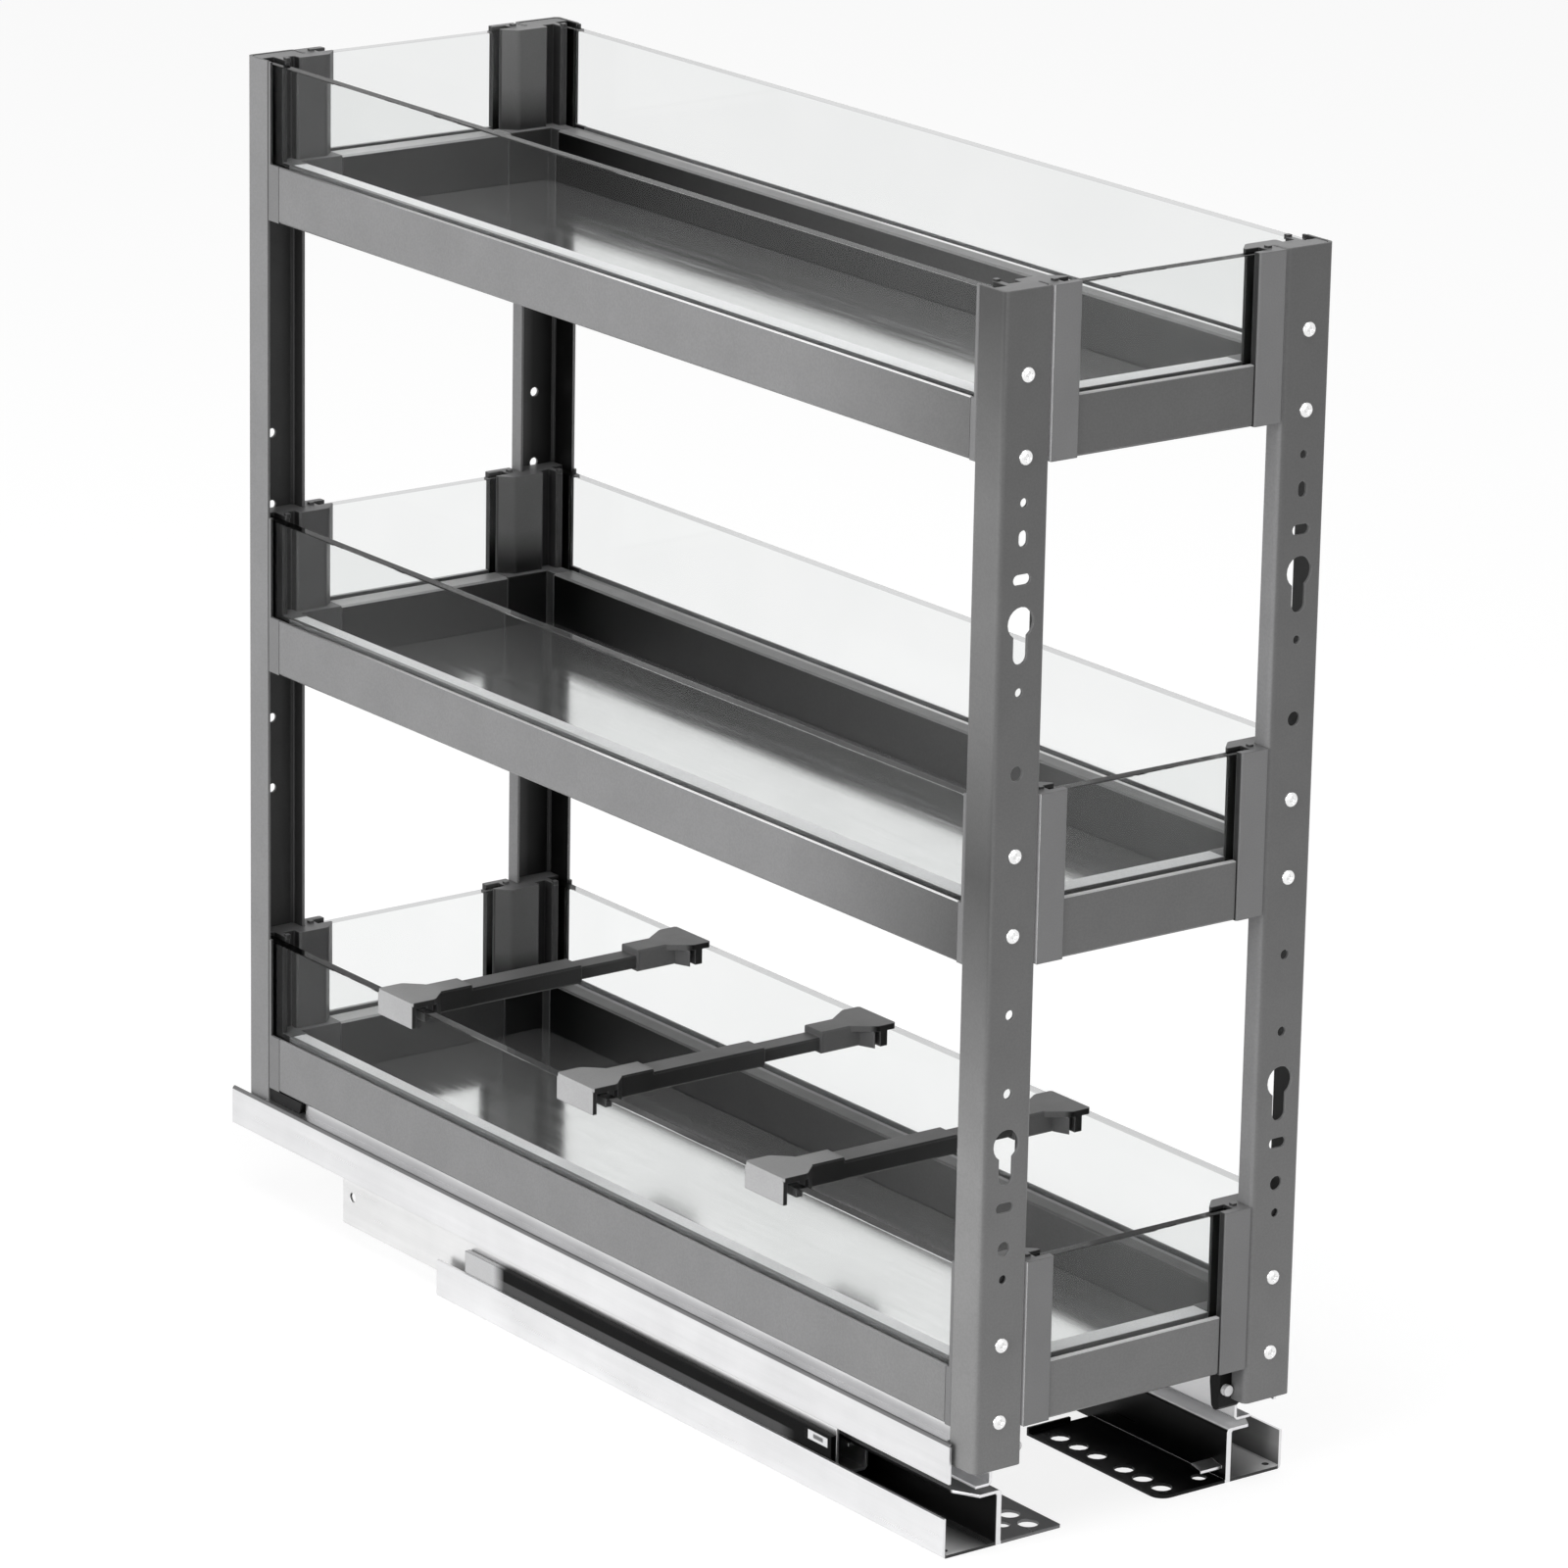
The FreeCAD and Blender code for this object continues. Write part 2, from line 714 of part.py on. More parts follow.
def drawer_member():
    """Closed section under the tier: skirt, running track, ridge and inner wall."""
    wall_in = drawer_inner_x + sheet
    skirt_in = skirt_x - sheet
    lip_x = drawer_inner_x + drawer_lip
    bar = long_bar([
        (skirt_x, track_height - skirt_drop),
        (skirt_x, shoulder_top, mid_bend),
        (ridge_x, shoulder_top),
        (ridge_x, ridge_top, mid_bend),
        (drawer_inner_x, ridge_top, mid_bend, "flat"),
        (drawer_inner_x, drawer_bottom, mid_bend, "flat"),
        (lip_x, drawer_bottom),
        (lip_x, drawer_bottom + sheet),
        (wall_in, drawer_bottom + sheet),
        (wall_in, track_height),
        (skirt_in, track_height),
        (skirt_in, track_height - skirt_drop),
    ], drawer_front, drawer_rear)
    upper_room = long_bar([
        (skirt_in, track_height + sheet),
        (skirt_in, shoulder_top - sheet),
        (ridge_x - sheet, shoulder_top - sheet),
        (ridge_x - sheet, ridge_top - sheet),
        (wall_in, ridge_top - sheet),
        (wall_in, track_height + sheet),
    ], drawer_front - 1, drawer_rear + 1)
    inside = (drawer_inner_x - 1, skirt_in)
    under_post = outer_flange_end - gap
    behind_post = half_depth + gap
    high = ridge_top + 1
    beyond = drawer_rear + 1
    cuts = [upper_room]
    cuts.append(box((drawer_inner_x - 1, ridge_x + 1), (bracket_front - gap, beyond), (shoulder_top, high)))
    cuts.append(box(inside, (under_post, behind_post), (track_height, high)))
    cuts.append(box(inside, (behind_post - sheet, beyond), (track_height + sheet, high)))
    cuts.append(box(inside, (drawer_front - 1, -under_post), (track_height, high)))
    return bar.cut(cuts)


def roller(y, z):
    start = mid_inner_x + roller_inset
    return cross_bar(ring((y, z), roller_radius, roller_sides), start, start + roller_length)


def evenly(first, last, count):
    return [first + (last - first) * step / (count - 1) for step in range(count)]


lower_roller_z = runner_sheet + roller_clear + roller_radius
upper_roller_z = mid_top + roller_clear + roller_radius
lower_rollers = evenly(mid_front + roller_lead, housing_rear - roller_lead / 2, roller_count)
upper_rollers = evenly(mid_front + roller_lead, mid_rear - roller_tail, roller_count)


def roller_housing():
    """Plastic carrier outside the middle member, with a pocket for each lower roller."""
    span = (mid_front, housing_rear)
    strip_x = (mid_inner_x + sheet, housing_x[1])
    plate = box(housing_x, span, (housing_base, mid_top - housing_drop))
    strip = box(strip_x, span, (housing_base, housing_base + housing_strip))
    catch_y = (mid_front + catch_start, mid_front + catch_start + catch_length)
    catch = box((housing_x[0], housing_x[1] + gap / 2), catch_y, catch_heights)
    reach = roller_radius + pocket_clear
    pocket_x = (mid_inner_x + roller_inset - pocket_clear,
                mid_inner_x + roller_inset + roller_length + pocket_clear)
    pocket_z = (housing_base - 1, housing_base + housing_strip + 1)
    pockets = [box(pocket_x, (y - reach, y + reach), pocket_z) for y in lower_rollers]
    return joined([plate, strip, catch]).cut(pockets)


rollers = []
housings = []
for is_left in (False, True):
    rollers += [mirrored(roller(y, lower_roller_z), left=is_left) for y in lower_rollers]
    rollers += [mirrored(roller(y, upper_roller_z), left=is_left) for y in upper_rollers]
    housings.append(mirrored(roller_housing(), left=is_left))
nodes["runner_rollers"] = Part.makeCompound(rollers)
nodes["roller_housings"] = Part.makeCompound(housings)

bracket_rear = outer_flange_end - 2 * gap
bracket_front = bracket_rear - bracket_length

for side in ("left", "right"):
    is_left = side == "left"
    nodes["runner_cabinet_member_" + side] = mirrored(cabinet_member(side), left=is_left)
    nodes["runner_middle_member_" + side] = mirrored(mid_member(), left=is_left)
    nodes["runner_drawer_member_" + side] = mirrored(drawer_member(), left=is_left)


def rear_bracket():
    """Plastic block that keys the bottom tier into the drawer member."""
    head = cross_bar([
        (bracket_front + bracket_chamfer, shoulder_top + gap),
        (bracket_rear, shoulder_top + gap),
        (bracket_rear, ridge_top),
        (bracket_front, ridge_top),
    ], drawer_inner_x + seat, half_width - bracket_inset)
    plug_x = (drawer_inner_x + sheet + gap, ridge_x - sheet - gap)
    plug_y = (bracket_front + 2 * bracket_chamfer, bracket_rear - bracket_chamfer)
    plug = box(plug_x, plug_y, (track_height + sheet + gap, shoulder_top + 1))
    return joined([head, plug])


def front_coupling():
    """Plastic catch on the drawer member with an adjusting wheel."""
    front = 2 * gap - inner_flange_end
    rear = front + coupling_length
    inner = drawer_inner_x - gap - coupling_width
    low = ridge_top - coupling_drop
    body = cross_bar([
        (front, low, 1.5, "flat"),
        (front, ridge_top),
        (rear, ridge_top),
        (rear, ridge_top - coupling_step_drop),
        (rear - coupling_step, low, 1.5, "flat"),
    ], inner, drawer_inner_x - gap)
    wheel_centre = (inner + wheel_inset, ridge_top - wheel_drop)
    wheel = long_bar(ring(wheel_centre, wheel_radius, 12), front + 1 - wheel_length, front + 1)
    return joined([body, wheel])


nodes["rear_brackets"] = Part.makeCompound([rear_bracket(), mirrored(rear_bracket(), left=True)])
nodes["front_couplings"] = Part.makeCompound([front_coupling(), mirrored(front_coupling(), left=True)])


cover_low = tier_level["bottom"] + block_height - glass_drop + clip_clear
cover_high = cover_low + clip_cover
sleeve_top = cover_high - sleeve_drop
sleeve_low = sleeve_top - sleeve_height
pane_in = glass_x - half_glass - clip_clear
pane_out = glass_x + half_glass + clip_clear


def clip_head(y, sizes):
    """Forked cap over the top edge of the right-hand pane: cover, throat and inner jaw."""
    neck, flare, tip = [pane_in - inward for inward in sizes["cover"]]
    cover = upright_bar([
        (tip, y - clip_half, 0.8, "flat"),
        (tip, y + clip_half, 0.8, "flat"),
        (flare, y + clip_half, 2.0, "flat"),
        (neck, y + sleeve_half),
        (neck, y - sleeve_half),
        (flare, y - clip_half, 2.0, "flat"),
    ], cover_low, cover_high)
    throat_in, throat_out, throat_half = sizes["throat"]
    throat = upright_bar([
        (pane_in - throat_out, y - throat_half),
        (pane_in - throat_out, y + throat_half),
        (pane_in - throat_in, y + sleeve_half),
        (pane_in - throat_in, y - sleeve_half),
    ], sleeve_low, cover_low)
    jaw_in, jaw_out, jaw_drop = sizes["jaw"]
    web_x = (pane_in - throat_out - 1, pane_in - jaw_in + 1)
    web = box(web_x, (y - clip_web_half, y + clip_web_half), (sleeve_low, cover_low))
    jaw_x = (pane_in - jaw_in, pane_in - jaw_out)
    jaw = box(jaw_x, (y - clip_half, y + clip_half), (cover_low - jaw_drop, cover_low))
    return joined([cover, throat, web, jaw])


def outer_plate(y):
    """Plate of the near clip that hangs down outside the pane."""
    plate_x = (pane_out, pane_out + plate_thick)
    plate_low = cover_high - plate_height
    plate = box(plate_x, (y - clip_half, y + clip_half), (plate_low, cover_low + 1))
    notch_y = (y - plate_notch_half, y + plate_notch_half)
    notch_z = (plate_low - 1, plate_low + plate_notch_height)
    notch = box((pane_out - 1, pane_out + plate_thick / 2), notch_y, notch_z)
    return plate.cut(notch)


def square_bar(y, half, x_span, z_span, chamfer):
    return cross_bar([
        (y - half, z_span[0], chamfer, "flat"),
        (y + half, z_span[0], chamfer, "flat"),
        (y + half, z_span[1], chamfer, "flat"),
        (y - half, z_span[1], chamfer, "flat"),
    ], *x_span)


def divider_sleeve(y):
    """Left-hand half: clip head, block and square tube."""
    neck = pane_in - near_clip["cover"][0]
    head = mirrored(joined([clip_head(y, near_clip), outer_plate(y)]), left=True)
    block = square_bar(y, sleeve_half, (-neck - 1, -near_block), (sleeve_low, cover_high), 0.6)
    tube = square_bar(y, sleeve_half, (-near_block - 1, sleeve_end), (sleeve_low, sleeve_top), 0.8)
    room_half = sleeve_half - sleeve_wall
    room = box((-near_block - 1, sleeve_end + 1), (y - room_half, y + room_half),
               (sleeve_low + sleeve_wall, sleeve_top - sleeve_wall))
    return joined([head, block, tube]).cut(room)


def divider_rod(y):
    """Right-hand half: clip head, block and the rod that slides in the tube."""
    neck = pane_in - far_clip["throat"][0]
    inset = sleeve_wall + rod_clear
    rod_start = sleeve_end - (near_block + sleeve_end) * rod_overlap
    rod = square_bar(y, sleeve_half - inset, (rod_start, far_block + 1),
                     (sleeve_low + inset, sleeve_top - inset), 0.6)
    block = square_bar(y, sleeve_half, (far_block, neck + 1), (sleeve_low, cover_high), 0.6)
    return joined([clip_head(y, far_clip), block, rod])


for number, share in enumerate(divider_share, start=1):
    y = share * half_depth
    nodes["divider_%d_sleeve" % number] = divider_sleeve(y)
    nodes["divider_%d_rod" % number] = divider_rod(y)

for name, shape in nodes.items():
    placed = shape.translated(Vec(0, plan_shift, 0))
    placed.exportStep("parts/" + name + ".step")
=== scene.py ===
import json
import math

import bpy
import numpy as np
from mathutils import Matrix, Vector


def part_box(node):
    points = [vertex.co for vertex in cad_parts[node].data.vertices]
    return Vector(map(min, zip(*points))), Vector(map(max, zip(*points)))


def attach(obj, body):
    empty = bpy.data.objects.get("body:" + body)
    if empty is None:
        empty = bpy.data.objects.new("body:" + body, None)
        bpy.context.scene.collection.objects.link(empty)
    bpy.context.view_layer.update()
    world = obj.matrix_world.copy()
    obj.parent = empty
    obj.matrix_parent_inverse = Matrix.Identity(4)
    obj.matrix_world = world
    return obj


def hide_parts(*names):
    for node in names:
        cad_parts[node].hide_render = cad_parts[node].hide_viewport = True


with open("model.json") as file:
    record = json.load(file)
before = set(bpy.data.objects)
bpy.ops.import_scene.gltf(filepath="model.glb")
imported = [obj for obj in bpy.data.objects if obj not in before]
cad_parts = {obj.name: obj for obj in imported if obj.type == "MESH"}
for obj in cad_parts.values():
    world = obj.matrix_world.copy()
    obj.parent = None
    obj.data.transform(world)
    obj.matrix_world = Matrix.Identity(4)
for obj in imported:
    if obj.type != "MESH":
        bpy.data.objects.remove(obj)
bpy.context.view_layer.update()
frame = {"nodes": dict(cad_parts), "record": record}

nodes_by_name = frame["nodes"]
MM = 0.001

# Where the picture is taken from: millimetres, degrees, and the lens on a 36 mm wide sensor
CAMERA_PLACE = (-1847.05, -2490.1, 1171.8)
CAMERA_TURN = -36.841
CAMERA_RISE = 16.724
CAMERA_ROLL = 1.075
SENSOR_WIDTH = 36.0
LENS = 179.04
FAR_CLIP = 50.0            # metres

TIERS = ("bottom", "middle", "top")
PANE_SIDES = ("left", "right", "front", "rear")
PLAN_SHIFT = 3.45          # from the box's middle to the basket's middle, along Y


# Meshes

def solid_parts(node):
    """Splits a node's mesh into its separate solids, as lists of points (metres). Each
    point takes the lowest label of its faces until nothing changes."""
    mesh = nodes_by_name[node].data
    points = np.empty(len(mesh.vertices) * 3)
    mesh.vertices.foreach_get("co", points)
    corners = np.empty(len(mesh.polygons) * 3, int)
    mesh.polygons.foreach_get("vertices", corners)
    keys, merged = np.unique(np.round(points.reshape(-1, 3), 6), axis=0, return_inverse=True)
    faces = merged.reshape(-1)[corners.reshape(-1, 3)]
    label = np.arange(len(keys))
    while True:
        lowest = label[faces].min(axis=1)
        updated = label.copy()
        for column in range(3):
            np.minimum.at(updated, faces[:, column], lowest)
        if np.array_equal(updated, label):
            break
        label = updated
    return [keys[label == part] for part in np.unique(label)]


def mesh_piece(name, points, quads, material, body, smooth=True):
    """A new piece from arrays of points (metres) and four-cornered faces."""
    mesh = bpy.data.meshes.new(name)
    mesh.from_pydata(points.tolist(), [], quads.tolist())
    mesh.update()
    piece = bpy.data.objects.new(name, mesh)
    bpy.context.scene.collection.objects.link(piece)
    mesh.polygons.foreach_set("use_smooth", np.full(len(mesh.polygons), smooth))
    mesh.materials.append(material)
    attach(piece, body)
    return piece


def ring_faces(rows, columns):
    """Quads of a rows x columns grid whose last column joins the first."""
    row, column = np.meshgrid(np.arange(rows - 1), np.arange(columns), indexing="ij")
    after = (column + 1) % columns
    corners = [row * columns + column, row * columns + after,
               (row + 1) * columns + after, (row + 1) * columns + column]
    return np.stack(corners, axis=-1).reshape(-1, 4)


# Nodes that the materials are made of

BEVEL_SAMPLES = 6


def new_material(name, metallic=0.0):
    material = bpy.data.materials.new(name)
    material.use_nodes = True
    main_shader(material.node_tree).inputs["Metallic"].default_value = metallic
    return material, material.node_tree


def main_shader(tree):
    return tree.nodes["Principled BSDF"]


def feed(tree, socket, value):
    """Sets a socket to a constant, or links another socket to it."""
    if isinstance(value, bpy.types.NodeSocket):
        tree.links.new(value, socket)
    else:
        socket.default_value = value


def object_coords(tree, stretch=(1, 1, 1), shift=(0, 0, 0)):
    """Object coordinates, stretched and then shifted."""
    place = tree.nodes.new("ShaderNodeTexCoord")
    mapping = tree.nodes.new("ShaderNodeMapping")
    mapping.inputs["Scale"].default_value = stretch
    mapping.inputs["Location"].default_value = shift
    tree.links.new(place.outputs["Object"], mapping.inputs["Vector"])
    return mapping.outputs["Vector"]


def split_axes(tree, vector):
    """The X, Y and Z parts of a vector, by the name of the axis."""
    node = tree.nodes.new("ShaderNodeSeparateXYZ")
    tree.links.new(vector, node.inputs[0])
    return {axis: node.outputs[axis] for axis in "XYZ"}


def noise(tree, coords, per_metre, detail, rough=0.55):
    node = tree.nodes.new("ShaderNodeTexNoise")
    node.inputs["Scale"].default_value = per_metre
    node.inputs["Detail"].default_value = detail
    node.inputs["Roughness"].default_value = rough
    tree.links.new(coords, node.inputs["Vector"])
    return node.outputs["Fac"]


def ramp(tree, factor, stops):
    """Colour ramp through (place, tone) or (place, colour) stops."""
    node = tree.nodes.new("ShaderNodeValToRGB")
    elements = node.color_ramp.elements
    while len(elements) < len(stops):
        elements.new(0.5)
    for element, (place, value) in zip(elements, stops):
        element.position = place
        element.color = (value, value, value, 1) if np.isscalar(value) else (*value, 1)
    tree.links.new(factor, node.inputs["Fac"])
    return node.outputs["Color"]


def mix_colour(tree, factor, first, second, blend="MIX"):
    """Mix of two colours, whose sockets are number 6 and 7 of the node."""
    node = tree.nodes.new("ShaderNodeMix")
    node.data_type = "RGBA"
    node.blend_type = blend
    feed(tree, node.inputs[0], factor)
    feed(tree, node.inputs[6], first)
    feed(tree, node.inputs[7], second)
    return node.outputs[2]


def times(tree, first, second):
    """Product of two colours."""
    return mix_colour(tree, 1.0, first, second, "MULTIPLY")


def math_node(tree, operation, first, second=0.0):
    """One operation on two numbers or sockets."""
    node = tree.nodes.new("ShaderNodeMath")
    node.operation = operation
    feed(tree, node.inputs[0], first)
    feed(tree, node.inputs[1], second)
    return node.outputs[0]


def face_normal(tree):
    return tree.nodes.new("ShaderNodeNewGeometry").outputs["True Normal"]


def rounded_normal(tree, radius):
    """Direction of the face with its edges rounded; the radius is in millimetres."""
    node = tree.nodes.new("ShaderNodeBevel")
    node.samples = BEVEL_SAMPLES
    node.inputs["Radius"].default_value = radius * MM
    return node.outputs["Normal"]


def edge_mask(tree, radius, low, high):
    """White along convex edges: how far the rounded normal leaves the face's own normal."""
    dot = tree.nodes.new("ShaderNodeVectorMath")
    dot.operation = "DOT_PRODUCT"
    tree.links.new(rounded_normal(tree, radius), dot.inputs[0])
    tree.links.new(face_normal(tree), dot.inputs[1])
    return ramp(tree, dot.outputs["Value"], [(low, 1.0), (high, 0.0)])


def bumped(tree, height, strength, depth, edge_radius):
    """Relief on the main shader, over rounded edges; depth and radius in millimetres."""
    node = tree.nodes.new("ShaderNodeBump")
    node.inputs["Strength"].default_value = strength
    node.inputs["Distance"].default_value = depth * MM
    tree.links.new(height, node.inputs["Height"])
    tree.links.new(rounded_normal(tree, edge_radius), node.inputs["Normal"])
    tree.links.new(node.outputs["Normal"], main_shader(tree).inputs["Normal"])


# Masks and tones. A mask is 1 where its words are true, and places are in millimetres

EDGE_SOFT = 0.3            # how far a mask fades on either side of its limit
TOWARDS = 0.5              # part of a direction past which a face looks that way
TOWARDS_SOFT = 0.05
FACING = (0.55, 0.75)      # parts of a direction between which a face turns to face it
SCALE_HEIGHT = 520.0       # height that the tones by height are spread over


def places(tree):
    """Across and along from the middle of the basket, and height over the cabinet floor."""
    coords = object_coords(tree, (1 / MM, 1 / MM, 1 / MM), (0, PLAN_SHIFT, 0))
    return tuple(split_axes(tree, coords).values())


def rising(tree, value, low, high, first=0.0, last=1.0):
    """Straight ramp of a number between two of its values, level beyond them."""
    node = tree.nodes.new("ShaderNodeMapRange")
    node.inputs["From Min"].default_value = low
    node.inputs["From Max"].default_value = high
    node.inputs["To Min"].default_value = first
    node.inputs["To Max"].default_value = last
    tree.links.new(value, node.inputs["Value"])
    return node.outputs["Result"]


def over(tree, value, limit, soft=EDGE_SOFT):
    return rising(tree, value, limit - soft, limit + soft)


def under(tree, value, limit, soft=EDGE_SOFT):
    return rising(tree, value, limit - soft, limit + soft, 1.0, 0.0)


def from_middle(tree, place):
    """How far out a place lies, on either side of the middle."""
    return math_node(tree, "ABSOLUTE", place)


def beyond(tree, place, limit, soft=EDGE_SOFT):
    """A place lies further out than the limit on either side of the middle."""
    return over(tree, from_middle(tree, place), limit, soft)


def within(tree, place, limit, soft=EDGE_SOFT):
    """A place lies nearer to the middle than the limit on either side."""
    return under(tree, from_middle(tree, place), limit, soft)


def both(tree, first, *others):
    """All of the masks hold: their product."""
    for other in others:
        first = math_node(tree, "MULTIPLY", first, other)
    return first


def either(tree, first, *others):
    """Any of the masks holds: their maximum."""
    for other in others:
        first = math_node(tree, "MAXIMUM", first, other)
    return first


def band(tree, value, low, high):
    """A number lies between two values."""
    return both(tree, over(tree, value, low), under(tree, value, high))


def direction(tree, axis):
    """Part of the face's direction along an axis, -1 to 1."""
    return split_axes(tree, face_normal(tree))[axis]


def facing(tree, axis):
    """The face looks up (axis Z), or to either side along the axis."""
    part = direction(tree, axis)
    if axis != "Z":
        part = from_middle(tree, part)
    return rising(tree, part, *FACING)


def outward(tree, axis, place):
    """Part of the face's direction that points away from the basket's middle."""
    return math_node(tree, "MULTIPLY", direction(tree, axis), math_node(tree, "SIGN", place))


def forward(tree, part):
    """A part of a direction is clearly positive."""
    return over(tree, part, TOWARDS, TOWARDS_SOFT)


def backward(tree, part):
    """A part of a direction is clearly negative."""
    return under(tree, part, -TOWARDS, TOWARDS_SOFT)


def grey(tone):
    return (tone, tone, tone * 1.01, 1)


def grey_socket(tree, tone):
    """Grey from a number that varies over the surface."""
    node = tree.nodes.new("ShaderNodeCombineColor")
    for name in ("Red", "Green", "Blue"):
        tree.links.new(tone, node.inputs[name])
    return node.outputs[0]


def shade(tree, mask, first, last):
    """Mix of two tones, first where the mask is 0 and last where it is 1. Each is a number
    or a colour socket."""
    tones = [grey(tone) if np.isscalar(tone) else tone for tone in (first, last)]
    return mix_colour(tree, mask, *tones)


def tones_between(tree, place, low, high, stops):
    """Tone that changes with a place from low to high, through (place, tone) stops."""
    share = rising(tree, place, low, high)
    return ramp(tree, share, [((where - low) / (high - low), tone) for where, tone in stops])


def along_height(tree, height, stops):
    """Tone that changes with the height over the cabinet floor."""
    return tones_between(tree, height, 0.0, SCALE_HEIGHT, stops)


# Skins that carry the grain and wear of each kind of surface. Grains, mottles, clouds and
# lines are per metre, depths and radii in millimetres

POWDER_GRAIN = 1100.0
MOULD_GRAIN = 1800.0
COAT_MOTTLE = 38.0
MOTTLE_STOPS = [(0.3, 0.92), (0.7, 1.0)]
SPECK_STOPS = [(0.35, 0.9), (0.65, 1.0)]
COAT_GLOSS = 60.0
COAT_DEPTH = 0.2
COAT_EDGE = 0.6
WEAR_REACH = 0.8
WEAR_TURN = (0.80, 0.97)   # cosines between which the wear of an edge fades
WEAR_SHARE = 0.55
PLATE_LINES = 260.0
LINE_STOPS = [(0.3, 0.93), (0.7, 1.0)]
PLATE_CLOUDS = 28.0
PLATE_DEPTH = 0.1
PLATE_EDGE = 0.4
PLATE_BRIGHTEST = 0.97
ROLLED_ALONG = (1, 0.03, 1)    # draws the lines out along the part


def coat(material, colour, rough, grain, relief, worn_tone, shine):
    """Painted or moulded skin over a colour socket: mottling, fine grain, rubbed edges."""
    tree = material.node_tree
    shader = main_shader(tree)
    shader.inputs["Specular IOR Level"].default_value = shine
    coords = object_coords(tree)
    mottle = ramp(tree, noise(tree, coords, COAT_MOTTLE, detail=4.0), MOTTLE_STOPS)
    speck = ramp(tree, noise(tree, coords, grain, detail=2.0), SPECK_STOPS)
    colour = times(tree, times(tree, colour, mottle), speck)
    wear = both(tree, edge_mask(tree, WEAR_REACH, *WEAR_TURN), WEAR_SHARE)
    tree.links.new(shade(tree, wear, colour, worn_tone), shader.inputs["Base Color"])
    gloss = noise(tree, coords, COAT_GLOSS, detail=3.0)
    tree.links.new(ramp(tree, gloss, [(0.3, rough - 0.05), (0.7, rough + 0.06)]),
                   shader.inputs["Roughness"])
    bumped(tree, noise(tree, coords, grain, detail=2.0), relief, COAT_DEPTH, COAT_EDGE)
    return material


def plated_skin(material, tone, rough, stretch=ROLLED_ALONG, lines_per_metre=PLATE_LINES,
                relief=0.05, tint=None):
    """Rolled or plated metal: fine lines along one axis, cloudy plating, soft edges, and a
    tint socket where one is given."""
    tree = material.node_tree
    shader = main_shader(tree)
    lines = noise(tree, object_coords(tree, stretch), lines_per_metre, detail=4.0, rough=0.65)
    cloud = noise(tree, object_coords(tree), PLATE_CLOUDS, detail=4.0)
    brightest = min(tone * 1.05, PLATE_BRIGHTEST)
    base = ramp(tree, cloud, [(0.3, tone * 0.95), (0.7, brightest)])
    colour = times(tree, base, ramp(tree, lines, LINE_STOPS))
    if tint is not None:
        colour = times(tree, colour, tint)
    tree.links.new(colour, shader.inputs["Base Color"])
    gloss = ramp(tree, lines, [(0.25, rough - 0.05), (0.75, rough + 0.07)])
    tree.links.new(gloss, shader.inputs["Roughness"])
    bumped(tree, lines, relief, PLATE_DEPTH, PLATE_EDGE)
    return material


def plated_sheet(name, tone, rough, metallic=1.0, **skin):
    """Plated skin with no tint, as a material of its own."""
    return plated_skin(new_material(name, metallic)[0], tone, rough, **skin)


# Finishes. A tone is how much light a surface gives back, from black at 0

SATIN_SHINE = 0.3
LOW_SHINE = 0.15
ZINC_TONE = 0.80
ZINC_ROUGH = 0.30

# Painted shade on the uprights' webs and on the front and rear rims' outer faces: darker towards
# the top
WEB_SHADE_BY_HEIGHT = [(45, 0.182), (250, 0.136), (505, 0.108)]

# Uprights, in millimetres out from the middle
UPRIGHT_MIDDLE = 70.0
WEB_INSIDE = 259.0
OUTER_FLANGE_INSIDE = 78.6
INNER_FLANGE_INSIDE = 58.2
REAR_FLANGE_TONE = 0.195
INNER_FLANGE_TONE = 0.20
# Painted shade on the front uprights' outer flange, by height: light below the middle tier, dark
# beside it, lighter between the tiers, dark at the top
FRONT_FLANGE_SHADE_BY_HEIGHT = [(160, 0.20), (280, 0.06), (350, 0.13), (430, 0.13), (505, 0.05)]


def upright_finish():
    """Powder coat of the uprights, with painted shade: the web darkens towards the top, the
    outer flange of the front ones gets darker beside the upper tiers, and the inside of the
    channel is dark, black towards the far corner."""
    material, tree = new_material("upright_powder_coat")
    across, along, height = places(tree)
    front_flange = along_height(tree, height, FRONT_FLANGE_SHADE_BY_HEIGHT)
    outer_flange = shade(tree, under(tree, along, 0.0), REAR_FLANGE_TONE, front_flange)
    flange = shade(tree, beyond(tree, across, UPRIGHT_MIDDLE), INNER_FLANGE_TONE, outer_flange)
    outside = shade(tree, facing(tree, "X"), along_height(tree, height, WEB_SHADE_BY_HEIGHT), flange)
    out_x = outward(tree, "X", across)
    out_y = outward(tree, "Y", along)
    web_inside = both(tree, backward(tree, out_y), beyond(tree, along, WEB_INSIDE))
    outer_inside = both(tree, backward(tree, out_x), beyond(tree, across, OUTER_FLANGE_INSIDE))
    inner_inside = both(tree, forward(tree, out_x), within(tree, across, INNER_FLANGE_INSIDE))
    inside = either(tree, web_inside, outer_inside, inner_inside)
    # Painted shade inside the channel, black towards the far corner
    inside_shade = rising(tree, across, 64.0, 68.0, 0.040, 0.001)
    colour = shade(tree, inside, outside, grey_socket(tree, inside_shade))
    return coat(material, colour, rough=0.42, grain=POWDER_GRAIN, relief=0.10,
                worn_tone=0.24, shine=SATIN_SHINE)


# Rims, in millimetres out from the middle: the limit of the inner face, and the pane
LONG_RIM_INSIDE = 65.0
LONG_RIM_PANE = 71.5
SHORT_RIM_INSIDE = 242.8
SHORT_RIM_PANE = 251.5
ABOVE_BOTTOM_TIER = (100.0, 200.0)
# Painted light and shade on the side rims: by height on the outer face, along the length on the
# top outside the pane
LONG_RIM_SHADE_BY_HEIGHT = [(90, 0.200), (240, 0.075), (450, 0.120)]
LONG_RIM_EDGE_LIGHT_AND_SHADE = [(-10, 0.90), (30, 0.50), (130, 0.45), (210, 0.12)]


